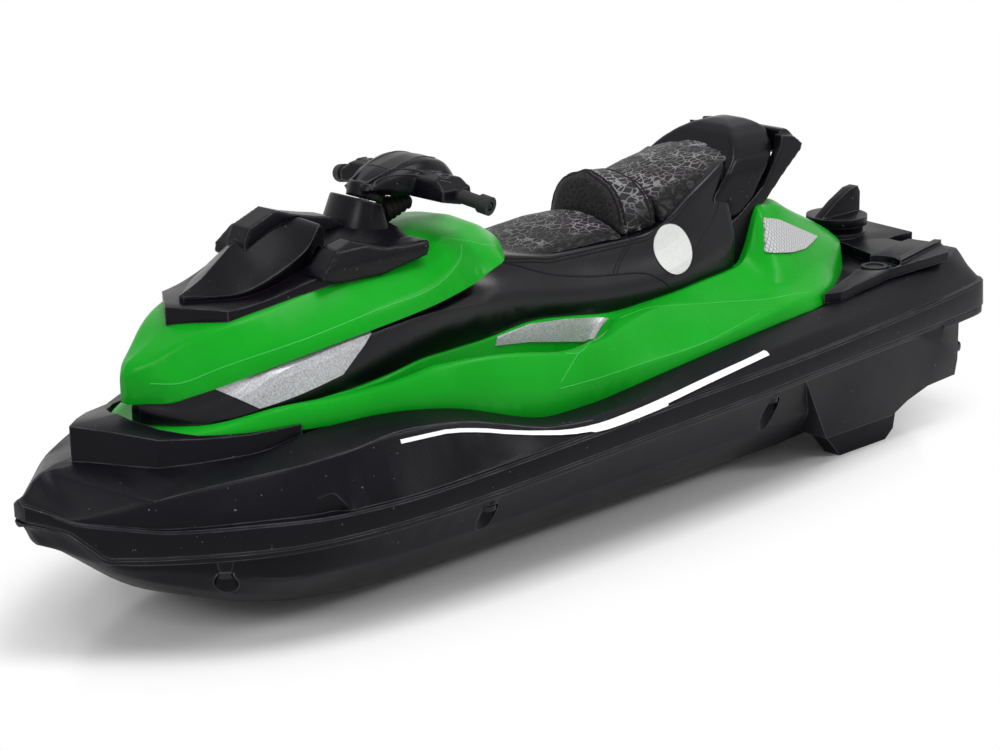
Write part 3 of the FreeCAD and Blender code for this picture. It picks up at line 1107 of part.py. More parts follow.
tray.Placement = Placement(Vector(along(BATTERY_STATION), 0, tray_foot + size["tray_lift"]), Rotation())
battery = doc.addObject("PartDesign::Body", "battery_pack")
sketch = new_sketch(battery, "XY_Plane", "pack_outline")
add_polygon(sketch, block_corners("-Sizes.battery_thickness / 2", "Sizes.battery_thickness / 2",
                                  "-Sizes.battery_length / 2", "Sizes.battery_length / 2"))
pack = add_pad(battery, sketch, "pack", "Sizes.battery_height")
doc.recompute()
edges = ["Edge%d" % (i + 1) for i, edge in enumerate(pack.Shape.Edges) if abs(edge.tangentAt(0).y) > 0.9]
rounding = battery.newObject("PartDesign::Fillet", "pack_rounding")
rounding.Base = (pack, edges)
rounding.Radius = 5
battery.Placement = Placement(Vector(along(BATTERY_STATION), 0, tray_foot + size["tray_lift"] + size["tray_wall"]),
                              Rotation())

board = doc.addObject("PartDesign::Body", "receiver_board")
sketch = new_sketch(board, "XY_Plane", "board_outline")
add_polygon(sketch, block_corners("-Sizes.board_length / 2", "Sizes.board_length / 2",
                                  "-Sizes.board_width / 2", "Sizes.board_width / 2"))
add_pad(board, sketch, "laminate", "Sizes.board_thickness")
chips = [("-14", "-4", "-5", "5", "1.6"), ("2", "9", "-10", "-3", "1.2"), ("2", "16", "2", "11", "5")]
for i, (x_low, x_high, y_low, y_high, height) in enumerate(chips):
    sketch = new_sketch(board, "XY_Plane", "chip_outline_%d" % i, "Sizes.board_thickness - 0.2")
    add_polygon(sketch, block_corners(x_low, x_high, y_low, y_high))
    add_pad(board, sketch, "chip_%d" % i, height)
stand(board, 173, 0, BOARD_LEVEL)

# ---------------------------------------------------------------- screws and water contacts
screws = []
for sign in (1, -1):
    for station, breadth in SCREWS:
        floor = up(seam(station) - 6.0)
        x, y = along(station), across(sign * breadth)
        screws.append(upright(size["screw_head_radius"], floor - 1.5, floor, x, y).fuse(
            upright(size["screw_radius"], floor - 0.2, floor + size["screw_length"] - 1, x, y)).cut(
                Part.makeBox(4, 0.7, 0.7, Vector(x - 2, y - 0.35, floor - 1.5))))
add_node("hull_screws", Part.makeCompound(screws))
contacts = [upright(size["pin_radius"], up(1.2), up(6.5), along(CONTACTS[0]), across(sign * CONTACTS[1])) for sign in (1, -1)]
add_node("water_contacts", Part.makeCompound(contacts))

# ---------------------------------------------------------------- check and export
PAIRS = ("decal_front", "decal_side", "stripe", "badge", "reflector", "mirror", "grip", "motor", "coupling", "shaft",
         "shaft_tube", "nozzle", "propeller")
SINGLES = ("hull_shell", "hull_gasket", "deck_shell", "deck_fairing", "seat_body", "bonnet", "cowl", "cowl_panel",
           "instrument_visor", "steering_neck", "steering_pin", "handlebar", "steering_boot", "seat_front_pad",
           "seat_bolster", "seat_rear_pad", "seat_backrest", "grab_handle", "hatch_cover", "hatch_seal", "hatch_knob",
           "power_button", "power_switch", "motor_mount", "battery_pack", "battery_tray", "receiver_board",
           "hull_screws", "water_contacts")
NODE_NAMES = list(SINGLES) + [name + side for name in PAIRS for side in ("_port", "_starboard")]
doc.recompute()
faults = [item.Label for item in doc.Objects if "Invalid" in item.State or "Error" in item.State]
for name in NODE_NAMES:
    node = doc.getObjectsByLabel(name)[0]
    if node.Shape.isNull() or not node.Shape.isValid():
        faults.append(name)
        continue
    node.Shape.exportStep("parts/%s.step" % name)
    box = node.Shape.BoundBox
    print("%-22s %2d solid(s) %9.1f mm3   x %7.1f %7.1f  y %6.1f %6.1f  z %6.1f %6.1f" % (
        name, len(node.Shape.Solids), node.Shape.Volume, box.XMin, box.XMax, box.YMin, box.YMax, box.ZMin, box.ZMax))
if faults:
    raise RuntimeError("these pieces are at fault: %s" % ", ".join(faults))
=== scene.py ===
# %% [markdown]
# # A toy jet ski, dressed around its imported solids
# The craft is a radio-controlled watercraft about a third of a metre long. Its solids come from the packed
# model and are the fixed frame. This script gives them their moulded edges, films, seat covers and
# finishes, and adds the small things that are easier to shape here than as solids. Places along the craft
# are given as stations, in millimetres aft of the bow end of its drawn length.

# %% Load the frame
import json
import math

import bpy
from mathutils import Matrix, Vector
from mathutils.bvhtree import BVHTree


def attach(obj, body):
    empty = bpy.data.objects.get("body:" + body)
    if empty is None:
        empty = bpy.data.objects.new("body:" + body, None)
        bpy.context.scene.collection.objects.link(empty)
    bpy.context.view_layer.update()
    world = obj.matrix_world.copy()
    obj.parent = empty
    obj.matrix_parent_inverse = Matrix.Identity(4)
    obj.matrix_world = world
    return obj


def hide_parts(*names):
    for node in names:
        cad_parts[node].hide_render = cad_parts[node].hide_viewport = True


STATION_ZERO = 0.1725          # the bow end of the drawn length, in metres forward of the middle

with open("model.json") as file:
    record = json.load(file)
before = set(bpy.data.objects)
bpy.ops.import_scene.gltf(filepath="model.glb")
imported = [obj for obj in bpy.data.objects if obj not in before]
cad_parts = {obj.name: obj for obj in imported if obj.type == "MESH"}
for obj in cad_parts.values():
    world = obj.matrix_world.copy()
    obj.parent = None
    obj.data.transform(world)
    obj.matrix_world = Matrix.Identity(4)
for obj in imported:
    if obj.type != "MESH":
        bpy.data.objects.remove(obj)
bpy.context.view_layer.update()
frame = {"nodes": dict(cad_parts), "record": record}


def deselect():
    for item in list(bpy.context.selected_objects):
        item.select_set(False)


def only(item):
    """Selects one object and makes it the active one."""
    deselect()
    item.select_set(True)
    bpy.context.view_layer.objects.active = item
    return item


# %% [markdown]
# ## Shader maths
# A finish is a small network of nodes. Wiring them one by one is long to read, so a wire that comes out of
# a node can be added, multiplied or compared as a number is, and each such sign adds its own Math node.

# %% Wires
class Wire:
    """An output socket that does arithmetic."""

    def __init__(self, network, socket):
        self.network = network
        self.socket = socket

    def beside(self, output):
        """Another output of the same node."""
        return Wire(self.network, self.socket.node.outputs[output])

    def __add__(self, other):
        return self.network.maths("ADD", self, other)

    __radd__ = __add__

    def __mul__(self, other):
        return self.network.maths("MULTIPLY", self, other)

    __rmul__ = __mul__

    def __sub__(self, other):
        return self.network.maths("SUBTRACT", self, other)

    def __rsub__(self, other):
        return self.network.maths("SUBTRACT", other, self)

    def __gt__(self, other):
        return self.network.maths("GREATER_THAN", self, other)


# %% A network of nodes
class Network:
    """The nodes of one material or world."""

    def __init__(self, owner):
        self.owner = owner
        owner.use_nodes = True
        self.tree = owner.node_tree
        self.tree.nodes.clear()

    def node(self, kind, settings=(), inputs=(), output=0):
        made = self.tree.nodes.new(kind)
        for key, value in dict(settings).items():
            setattr(made, key, value)
        for key, value in dict(inputs).items():
            if isinstance(value, Wire):
                self.tree.links.new(value.socket, made.inputs[key])
            else:
                made.inputs[key].default_value = value
        return Wire(self, made.outputs[output]) if len(made.outputs) else None

    def maths(self, operation, first, second=0.0):
        return self.node("ShaderNodeMath", {"operation": operation}, {0: first, 1: second})

    def span(self, value, low, high, out_low=0.0, out_high=1.0, curve="LINEAR"):
        """Carries a value from one range to another, held at the ends."""
        return self.node("ShaderNodeMapRange", {"clamp": True, "interpolation_type": curve},
                         {"Value": value, "From Min": low, "From Max": high,
                          "To Min": out_low, "To Max": out_high})

    def finished_with(self, shader, output="ShaderNodeOutputMaterial"):
        """Wires the last shader to the output, and gives back the material or world."""
        self.node(output, inputs={"Surface": shader})
        return self.owner


# %% A finish
class Finish(Network):
    """One material, with patterns laid out on the object's own coordinates."""

    def __init__(self, name):
        super().__init__(bpy.data.materials.new(name))
        self.place = self.node("ShaderNodeTexCoord", output="Object")

    def noise(self, scale, detail=2.0, place=None):
        return self.node("ShaderNodeTexNoise",
                         inputs={"Vector": place or self.place, "Scale": scale, "Detail": detail})

    def blend(self, share, first, second):
        """A colour between two colours."""
        return self.node("ShaderNodeMix", {"data_type": "RGBA"}, {"Factor": share, 6: first, 7: second},
                         output=2)

    def bump(self, height, distance, strength=1.0):
        return self.node("ShaderNodeBump",
                         inputs={"Height": height, "Distance": distance, "Strength": strength})

    def surface(self, inputs):
        return self.finished_with(self.node("ShaderNodeBsdfPrincipled", inputs=inputs))


def rgb(red, green, blue):
    return (red, green, blue, 1.0)


print("a finish can:", [name for name in dir(Finish) if not name.startswith("_")])

# %% [markdown]
# ## Moulded plastic
# Every shell of the craft is injection-moulded ABS. The black parts come out of a lightly grained tool and
# are satin, the green ones out of a polished tool and are glossy. Real mouldings are never even: the sheen
# wanders a little, the colour is a shade lighter where the plastic flowed last, and dust sits on the dark
# parts. The edges of the black parts are painted a lighter shade, a painted highlight where their rounding
# would catch the light.

# %% Plastic finishes
DUST = rgb(0.30, 0.29, 0.27)


def edges_of(finish, width):
    """How near a point is to an edge: 1 on it, 0 away from it."""
    rounded = finish.node("ShaderNodeBevel", {"samples": 4}, {"Radius": width})
    flat = finish.node("ShaderNodeNewGeometry", output="Normal")
    facing = finish.node("ShaderNodeVectorMath", {"operation": "DOT_PRODUCT"}, {0: rounded, 1: flat},
                         output="Value")
    return finish.span(facing, 0.955, 0.995, 1.0, 0.0)


def plastic(name, colour, lighter, roughness, grain, specular=0.5, coat=0.0, dust=0.0, edge_highlight=None):
    """A moulding: two shades of one colour, grain, specks of dust, and a painted highlight along its edges
    in a third, lighter shade.
    """
    finish = Finish(name)
    drift = finish.noise(28.0, 3.0)
    grain_height = finish.noise(2600.0)
    waves = finish.noise(160.0)
    tone = finish.blend(finish.span(drift, 0.3, 0.7), rgb(*colour), rgb(*lighter))
    if dust:
        specks = finish.noise(900.0, 1.0) > 0.785
        tone = finish.blend(specks * dust, tone, DUST)
    # Painted highlight: the edges are painted a lighter shade, standing in for the light that their rounding
    # catches.
    if edge_highlight:
        painted_highlight_share = edges_of(finish, 0.0005) * finish.span(waves, 0.35, 0.7, 0.35, 1.0)
        tone = finish.blend(painted_highlight_share, tone, rgb(*edge_highlight))
    sheen = finish.span(drift + 0.35 * (waves - 0.5), 0.25, 0.75, roughness - 0.05, roughness + 0.06)
    relief = finish.bump(grain_height * grain + 0.5 * waves * grain, 0.00006)
    return finish.surface({"Base Color": tone, "Roughness": sheen, "Normal": relief,
                           "Specular IOR Level": specular, "Coat Weight": coat, "Coat Roughness": 0.12})


# The last colour given to each black is its painted edge highlight.
hull_black = plastic("hull_black", (0.0024, 0.0021, 0.0038), (0.0042, 0.0038, 0.0062), 0.36, 0.7, 0.10,
                     dust=0.35, edge_highlight=(0.10, 0.10, 0.11))
shell_black = plastic("shell_black", (0.0022, 0.0017, 0.0032), (0.0040, 0.0033, 0.0054), 0.28, 0.5, 0.12,
                      dust=0.25, edge_highlight=(0.09, 0.088, 0.095))
smooth_black = plastic("smooth_black", (0.0018, 0.0018, 0.0030), (0.0034, 0.0034, 0.0054), 0.25, 0.2, 0.22,
                       edge_highlight=(0.05, 0.05, 0.056))
gloss_green = plastic("gloss_green", (0.003, 0.275, 0.010), (0.006, 0.330, 0.015), 0.27, 0.15, 0.09)
# Painted highlight: a lighter green for the crease beads, standing in for the light along the creases.
crease_green = plastic("crease_green", (0.012, 0.34, 0.026), (0.025, 0.40, 0.045), 0.3, 0.1, 0.2)
grey_moulding = plastic("grey_moulding", (0.05, 0.05, 0.055), (0.07, 0.07, 0.075), 0.42, 0.5, 0.4)
soft_rubber = plastic("soft_rubber", (0.010, 0.010, 0.011), (0.016, 0.016, 0.017), 0.60, 1.2, 0.25)
print("blacks:", hull_black.name, shell_black.name, smooth_black.name)

# %% [markdown]
# ## Films, metals and the pieces inside
# The stickers are thin foil: the silver ones sparkle with fine flakes, the white ones are plain. The
# reflectors are foil pressed into small diamonds. Motors, shafts and brass tubes are drawn metal, so their
# sheen is drawn out along the craft.

# %% Film, metal and battery finishes
DIAMOND_WAVE = 0.0030          # twice a diamond's length


def foil(name, dark, light, metallic, roughness):
    """Film with fine flakes in it, in two shades."""
    finish = Finish(name)
    flakes = finish.noise(1900.0, 1.0)
    cloud = finish.noise(60.0)
    share = finish.span(flakes + 0.25 * (cloud - 0.5), 0.32, 0.68)
    return finish.surface({"Base Color": finish.blend(share, rgb(*dark), rgb(*light)), "Metallic": metallic,
                           "Roughness": finish.span(flakes, 0.3, 0.7, roughness, roughness + 0.12),
                           "Normal": finish.bump(flakes, 0.00002)})


def drawn_metal(name, dark, light, roughness):
    """Metal with fine lines that run along the craft."""
    finish = Finish(name)
    stretched = finish.node("ShaderNodeMapping",
                            inputs={"Vector": finish.place, "Scale": (60.0, 1500.0, 1500.0)})
    lines = finish.noise(1.0, place=stretched)
    return finish.surface({"Base Color": finish.blend(lines, rgb(*dark), rgb(*light)), "Metallic": 1.0,
                           "Roughness": finish.span(lines, 0.3, 0.7, roughness, roughness + 0.15),
                           "Normal": finish.bump(lines, 0.00002)})


def pressed_diamonds(name):
    """Foil pressed into a net of small raised diamonds: two sets of slanting waves, where both are high."""
    finish = Finish(name)
    turns = 2 * math.pi / DIAMOND_WAVE
    along = finish.node("ShaderNodeSeparateXYZ", inputs={"Vector": finish.place})
    slant = 0.75 * along.beside("Z")
    waves = [finish.maths("ABSOLUTE", finish.maths("SINE", line * turns))
             for line in (along + slant, along - slant)]
    net = finish.maths("MINIMUM", *waves)
    tone = finish.blend(finish.span(net, 0.08, 0.42), rgb(0.16, 0.16, 0.17), rgb(0.50, 0.50, 0.51))
    return finish.surface({"Base Color": tone, "Metallic": 0.0, "Specular IOR Level": 0.3,
                           "Roughness": finish.span(net, 0.1, 0.6, 0.4, 0.24),
                           "Normal": finish.bump(net, 0.00015, 0.6)})


silver_foil = foil("silver_foil", (0.32, 0.32, 0.34), (0.52, 0.52, 0.54), 0.25, 0.34)
white_foil = foil("white_foil", (0.84, 0.84, 0.84), (0.92, 0.92, 0.92), 0.0, 0.38)
badge_foil = foil("badge_foil", (0.56, 0.565, 0.56), (0.64, 0.645, 0.64), 0.0, 0.40)
reflector_foil = pressed_diamonds("reflector_foil")
bright_steel = drawn_metal("bright_steel", (0.42, 0.42, 0.43), (0.66, 0.66, 0.67), 0.24)
blued_steel = drawn_metal("blued_steel", (0.015, 0.015, 0.018), (0.035, 0.035, 0.04), 0.35)
drawn_brass = drawn_metal("drawn_brass", (0.48, 0.33, 0.11), (0.70, 0.52, 0.22), 0.28)
battery_film = plastic("battery_film", (0.02, 0.06, 0.28), (0.03, 0.09, 0.36), 0.25, 0.3, coat=0.3)
laminate_green = plastic("laminate_green", (0.01, 0.10, 0.04), (0.02, 0.15, 0.06), 0.35, 0.6, coat=0.2)
print("finishes so far:", len(bpy.data.materials))

# %% [markdown]
# ## Printed seat vinyl
# The seat covers are soft vinyl with a printed web of thin grey lines between dark scales. The cells of a
# Voronoi pattern give the web, drawn out along the craft and bent a little so that no two scales match.
# Down the sides the scales grow larger, their lines turn dark, and the surface stands up between them. The
# strap over the bolster has a slightly wider and paler web, and its round front is almost plain.

# %% The web between the scales
def bent_place(finish, reach):
    """The object's coordinates, pushed about a little."""
    push = finish.noise(300.0).beside("Color")
    bend = finish.node("ShaderNodeVectorMath", {"operation": "SCALE"}, {0: push, "Scale": reach})
    return finish.node("ShaderNodeVectorMath", {"operation": "ADD"}, {0: finish.place, 1: bend})


def web_of(finish, bent, cell_x, cell_y, thin, thick, soft=0.05):
    """How near a point is to the lines between cells: 1 on a line, 0 off it; and the height of the cell."""
    laid_out = finish.node("ShaderNodeMapping",
                           inputs={"Vector": bent, "Scale": (1 / cell_x, 1 / cell_y, 1 / cell_y)})
    edge = finish.node("ShaderNodeTexVoronoi", {"feature": "DISTANCE_TO_EDGE"},
                       {"Vector": laid_out, "Scale": 1.0})
    width = finish.span(finish.noise(150.0), 0.35, 0.65, thin, thick)
    web = finish.span(edge, width, width + soft, 1.0, 0.0, "SMOOTHSTEP")
    return web, finish.span(edge, 0.0, 0.32)


# %% Seat finishes
SCALE_DARK, SCALE_PALE, BLOT = rgb(0.012, 0.0105, 0.012), rgb(0.024, 0.022, 0.024), rgb(0.003, 0.0025, 0.003)


def printed_vinyl(name, cell, side_from, web_tone, plain_before=None):
    """Vinyl with the web over its top, dark blots beyond side_from, and hardly any web before a place."""
    finish = Finish(name)
    bent = bent_place(finish, 0.0022)
    web, height = web_of(finish, bent, 1.9 * cell, cell, 0.0, 0.05)
    blots, swell = web_of(finish, bent, 0.0042, 0.0034, 0.04, 0.16, 0.12)
    along = finish.node("ShaderNodeSeparateXYZ", inputs={"Vector": finish.place})
    breadth = finish.maths("ABSOLUTE", along.beside("Y"))
    side = finish.span(breadth, side_from - 0.0012, side_from + 0.0012)
    patch = finish.span(finish.noise(75.0), 0.35, 0.65, 0.35, 1.0)
    grain = finish.noise(1800.0)
    scales = finish.blend(finish.span(grain, 0.3, 0.7), SCALE_DARK, SCALE_PALE)
    lines = web * patch * (1.0 - 0.75 * side)
    if plain_before is not None:
        front = finish.span(along, plain_before - 0.0003, plain_before + 0.0003)
        lines = lines * (1.0 - 0.93 * front)
        side = side * (1.0 - 0.8 * front)
    tone = finish.blend(lines, scales, rgb(*web_tone))
    tone = finish.blend(blots * side * 0.85, tone, BLOT)
    relief = finish.bump(0.5 * height + 0.10 * grain + 1.4 * swell * side, 0.00022, 0.8)
    return finish.surface({"Base Color": tone, "Roughness": finish.span(grain, 0.3, 0.7, 0.46, 0.58),
                           "Normal": relief, "Specular IOR Level": 0.12})


def plain_vinyl(name):
    """Vinyl with fine pores and no print, for piping."""
    finish = Finish(name)
    pores = finish.node("ShaderNodeTexVoronoi", inputs={"Vector": finish.place, "Scale": 1300.0})
    drift = finish.noise(60.0)
    tone = finish.blend(drift, rgb(0.008, 0.007, 0.008), rgb(0.014, 0.012, 0.014))
    return finish.surface({"Base Color": tone, "Roughness": finish.span(drift, 0.3, 0.7, 0.46, 0.56),
                           "Normal": finish.bump(pores, 0.00004), "Specular IOR Level": 0.08})


seat_print = printed_vinyl("seat_print", 0.0017, 0.0148, (0.20, 0.195, 0.20))
strap_print = printed_vinyl("strap_print", 0.0020, 0.0165, (0.24, 0.24, 0.25), STATION_ZERO - 0.2070)
seat_plain = plain_vinyl("seat_plain")
print("seat finishes:", seat_print.name, strap_print.name, seat_plain.name)

# %% [markdown]
# ## Dressing a solid
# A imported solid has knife-sharp edges, and a moulding has none. Where an edge shows, a copy of the solid
# stands in for it, its edges rounded off. Pieces that are round all over are remeshed finely and relaxed
# instead.

# %% Copies of the solids
BODY_OF = {node: body for body, nodes in frame["record"]["behaviour"]["bodies"].items() for node in nodes}
WELD = 0.00002                 # corners closer than this are one corner
FINE_VOXEL = 0.0005


def wear(item, material):
    item.data.materials.clear()
    item.data.materials.append(material)


def copy_of(node, name):
    """A copy of a solid's mesh as a new object, its split corners joined again."""
    source = frame["nodes"][node]
    piece = bpy.data.objects.new(name, source.data.copy())
    bpy.context.scene.collection.objects.link(piece)
    only(piece)
    bpy.ops.mesh.customdata_custom_splitnormals_clear()
    bpy.ops.object.mode_set(mode="EDIT")
    bpy.ops.mesh.select_all(action="SELECT")
    bpy.ops.mesh.remove_doubles(threshold=WELD)
    bpy.ops.object.mode_set(mode="OBJECT")
    return piece


def apply_modifier(piece, kind, **settings):
    modifier = piece.modifiers.new(kind.lower(), kind)
    for key, value in settings.items():
        setattr(modifier, key, value)
    only(piece)
    bpy.ops.object.modifier_apply(modifier=modifier.name)


# %% Rounded and relaxed copies
def settle(piece, node, material):
    """A finished piece takes the place of its solid."""
    wear(piece, material)
    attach(piece, BODY_OF[node])
    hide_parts(node)
    return piece


def moulded(node, material, edge):
    """The solid with its sharp edges rounded off."""
    piece = copy_of(node, node + "_moulding")
    apply_modifier(piece, "BEVEL", width=edge, segments=2, limit_method="ANGLE",
                   angle_limit=math.radians(28), use_clamp_overlap=True, miter_outer="MITER_ARC")
    bpy.ops.object.shade_smooth_by_angle(angle=math.radians(32))
    return settle(piece, node, material)


def relaxed(node, material, rounds):
    """The solid remeshed finely, and eased until its edges and corners are round."""
    piece = copy_of(node, node + "_moulding")
    apply_modifier(piece, "REMESH", mode="VOXEL", voxel_size=FINE_VOXEL)
    apply_modifier(piece, "SMOOTH", factor=0.5, iterations=rounds)
    bpy.ops.object.shade_smooth_by_angle(angle=math.radians(50))
    return settle(piece, node, material)


# %% [markdown]
# ## Lines laid on a surface
# Seams, lips and ribs follow the surface they are on. Each is drawn as a few points in side view or in
# plan, smoothed, dropped onto the surface as a ray would fall, and given a round section.

# %% Places, surfaces and smooth routes
STEP = 0.0012                  # from one point of a route to the next
DROP = 0.12                    # how far off a surface a ray starts


def at(station, breadth=0.0, height=0.0):
    """A point from millimetres: its station, how far to port, and how high."""
    return Vector((STATION_ZERO - station / 1000, breadth / 1000, height / 1000))


def station_of(place):
    return (STATION_ZERO - place.x) * 1000


def surface_of(*pieces):
    """One searchable surface from several pieces."""
    points, faces = [], []
    for piece in pieces:
        shift = len(points)
        points += [vertex.co.copy() for vertex in piece.data.vertices]
        faces += [[shift + i for i in face.vertices] for face in piece.data.polygons]
    return BVHTree.FromPolygons(points, faces)


def smooth_route(points):
    """Points at an even step along a smooth line through the given ones."""
    ends = [2 * points[0] - points[1]] + points + [2 * points[-1] - points[-2]]
    route = []
    for a, b, c, d in zip(ends, ends[1:], ends[2:], ends[3:]):
        count = max(1, round((c - b).length / STEP))
        for i in range(count):
            s = i / count
            route.append(0.5 * (2 * b + (c - a) * s + (2 * a - 5 * b + 4 * c - d) * s ** 2
                                + (3 * b - a - 3 * c + d) * s ** 3))
    return route + [points[-1]]


def laid(surface, points, fall, sink):
    """A smooth route dropped onto a surface along one direction, and sunk into it a little."""
    fall = Vector(fall)
    found = []
    for point in smooth_route(points):
        place, normal, index, distance = surface.ray_cast(point - fall * DROP, fall)
        if place is not None:
            found.append(place - normal * sink)
    return found


print("points on a line of 12 mm:", len(smooth_route([at(0), at(12)])))


# %% Tubes, mirror images and small pieces
def tube(name, paths, radius):
    """Round cords along paths, as one mesh."""
    curve = bpy.data.curves.new(name, "CURVE")
    curve.dimensions = "3D"
    curve.bevel_depth = radius
    curve.bevel_resolution = 2
    curve.use_fill_caps = True
    for path in paths:
        spline = curve.splines.new("POLY")
        spline.points.add(len(path) - 1)
        for point, place in zip(spline.points, path):
            point.co = (*place, 1.0)
    item = bpy.data.objects.new(name, curve)
    bpy.context.scene.collection.objects.link(item)
    only(item)
    bpy.ops.object.convert(target="MESH")
    bpy.ops.object.shade_smooth()
    return item


def twin(paths):
    """The paths, and their mirror images on the starboard side."""
    return paths + [[Vector((place.x, -place.y, place.z)) for place in path] for path in paths]


def add_on(piece, material, body="craft"):
    """A small piece that has no solid of its own."""
    wear(piece, material)
    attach(piece, body)
    return piece


# %% [markdown]
# ## Seat covers
# The two pads and the bolster between them are vinyl over foam. Each cover starts as its solid, remeshed
# and drawn in a little, and is blown up by cloth with pressure inside until the foam fills it. The cloth is
# worked at ten times its size, where it is steadier. Then the two pads are pressed down to a crown line
# drawn in side view, as the foam is cut, and the bolster is narrowed towards its flat round front.

# %% Cloth with pressure inside
TIMES = 10.0
CLOTH_FRAMES = 20


def blow_up(piece, cap):
    """Lets pressure swell the cover, each point by no more than the cap."""
    start = [vertex.co.copy() for vertex in piece.data.vertices]
    cloth = piece.modifiers.new("foam", "CLOTH")
    cloth.settings.use_pressure = True
    cloth.settings.uniform_pressure_force = 4.0
    cloth.settings.effector_weights.gravity = 0.0
    for step in range(1, CLOTH_FRAMES + 1):
        bpy.context.scene.frame_set(step)
    graph = bpy.context.evaluated_depsgraph_get()
    swollen = [vertex.co.copy() for vertex in piece.evaluated_get(graph).data.vertices]
    piece.modifiers.remove(cloth)
    bpy.context.scene.frame_set(1)
    for vertex, before, after in zip(piece.data.vertices, start, swollen):
        move = after - before
        if move.length > cap * TIMES:
            move *= cap * TIMES / move.length
        vertex.co = before + move


def cover(node, material, cap, shape, rounds=5):
    """One cover: remeshed, eased, blown up, shaped, and put in place of its solid."""
    piece = copy_of(node, node + "_cover")
    piece.data.transform(Matrix.Scale(TIMES, 4))
    apply_modifier(piece, "REMESH", mode="VOXEL", voxel_size=0.0075)
    apply_modifier(piece, "SMOOTH", factor=0.5, iterations=rounds)
    blow_up(piece, cap)
    apply_modifier(piece, "SMOOTH", factor=0.5, iterations=2)
    apply_modifier(piece, "SUBSURF", levels=1, render_levels=1)
    piece.data.transform(Matrix.Scale(1 / TIMES, 4))
    shape(piece)
    only(piece)
    bpy.ops.object.shade_smooth()
    return settle(piece, node, material)


print("cloth frames:", CLOTH_FRAMES)

# %% Crown lines and shapes of the covers
PAD_FOOT = 80.0                # the height that the pads are pressed towards
HALF_PAD = 0.016               # how far out a shoulder is
FRONT_CROWN = [(148, 83.4), (160, 83.4), (169.7, 83.9), (180.7, 85.6), (189, 86.6), (198, 86.4), (214, 85.8)]
REAR_CROWN = [(212, 93.4), (220, 95.0), (227, 96.4), (234, 97.7), (247, 99.4), (257, 100.3)]


def ease(value, low, high):
    return min(max((value - low) / (high - low), 0.0), 1.0)


def height_on(line, station):
    """The height of a line drawn in side view, at a station."""
    for (s0, z0), (s1, z1) in zip(line, line[1:]):
        if station <= s1:
            return z0 + (z1 - z0) * ease(station, s0, s1)
    return line[-1][1]


def crowned(piece, line, shoulders):
    """Presses a cover down to a line drawn in side view, and more so at its shoulders."""
    tops = {}
    for vertex in piece.data.vertices:
        station = round(station_of(vertex.co))
        tops[station] = max(tops.get(station, 0.0), vertex.co.z * 1000)
    for vertex in piece.data.vertices:
        station = round(station_of(vertex.co))
        top = max(tops.get(near, 0.0) for near in (station - 1, station, station + 1))
        share = 1.0
        if top > PAD_FOOT + 1:
            share = min(1.0, (height_on(line, station_of(vertex.co)) - PAD_FOOT) / (top - PAD_FOOT))
        share *= 1.0 - shoulders * min(1.0, (vertex.co.y / HALF_PAD) ** 2)
        above = vertex.co.z * 1000 - PAD_FOOT
        if share < 1.0 and above > 0:
            vertex.co.z = (PAD_FOOT + above * share) / 1000


def front_shape(piece):
    crowned(piece, FRONT_CROWN, 0.26)


def rear_shape(piece):
    crowned(piece, REAR_CROWN, 0.08)


def bolster_shape(piece):
    """The bolster narrows towards its front, which is a flat round face."""
    for vertex in piece.data.vertices:
        vertex.co.y *= 0.93 + 0.07 * ease(station_of(vertex.co), 205.0, 216.0)


print("highest points of the crown lines:", max(z for s, z in FRONT_CROWN), max(z for s, z in REAR_CROWN))

# %% Make the three covers
front_pad = cover("seat_front_pad", seat_print, 0.0009, front_shape)
bolster = cover("seat_bolster", strap_print, 0.0007, bolster_shape, 8)
rear_pad = cover("seat_rear_pad", seat_print, 0.0009, rear_shape)
print("cover triangles:", [len(piece.data.polygons) * 2 for piece in (front_pad, bolster, rear_pad)])

# %% [markdown]
# ## Finishes on the solids
# Each solid gets its finish by name. Then the outer shells are replaced by copies with rounded edges, and
# the pieces that are round all over by relaxed ones.

# %% Give each solid its finish
FINISH_OF = {
    hull_black: ("hull_shell", "deck_shell", "hatch_cover", "hatch_knob", "motor_mount", "battery_tray"),
    shell_black: ("cowl", "cowl_panel", "instrument_visor", "steering_neck", "mirror_port",
                  "mirror_starboard", "handlebar", "seat_backrest", "grab_handle", "propeller_port",
                  "propeller_starboard"),
    smooth_black: ("seat_body",),
    gloss_green: ("deck_fairing", "bonnet"),
    grey_moulding: ("nozzle_port", "nozzle_starboard", "power_switch"),
    soft_rubber: ("hull_gasket", "hatch_seal", "steering_boot", "power_button", "grip_port",
                  "grip_starboard", "coupling_port", "coupling_starboard"),
    silver_foil: ("decal_front_port", "decal_front_starboard", "decal_side_port", "decal_side_starboard"),
    white_foil: ("stripe_port", "stripe_starboard"),
    badge_foil: ("badge_port", "badge_starboard"),
    reflector_foil: ("reflector_port", "reflector_starboard"),
    bright_steel: ("steering_pin", "motor_port", "motor_starboard", "shaft_port", "shaft_starboard"),
    blued_steel: ("hull_screws",),
    drawn_brass: ("shaft_tube_port", "shaft_tube_starboard", "water_contacts"),
    battery_film: ("battery_pack",),
    laminate_green: ("receiver_board",),
    seat_print: ("seat_front_pad", "seat_rear_pad", "seat_bolster"),
}
for material, names in FINISH_OF.items():
    for name in names:
        wear(frame["nodes"][name], material)
left_over = set(frame["nodes"]) - {name for names in FINISH_OF.values() for name in names}
print("solids with a finish:", sum(map(len, FINISH_OF.values())), "left over:", sorted(left_over))

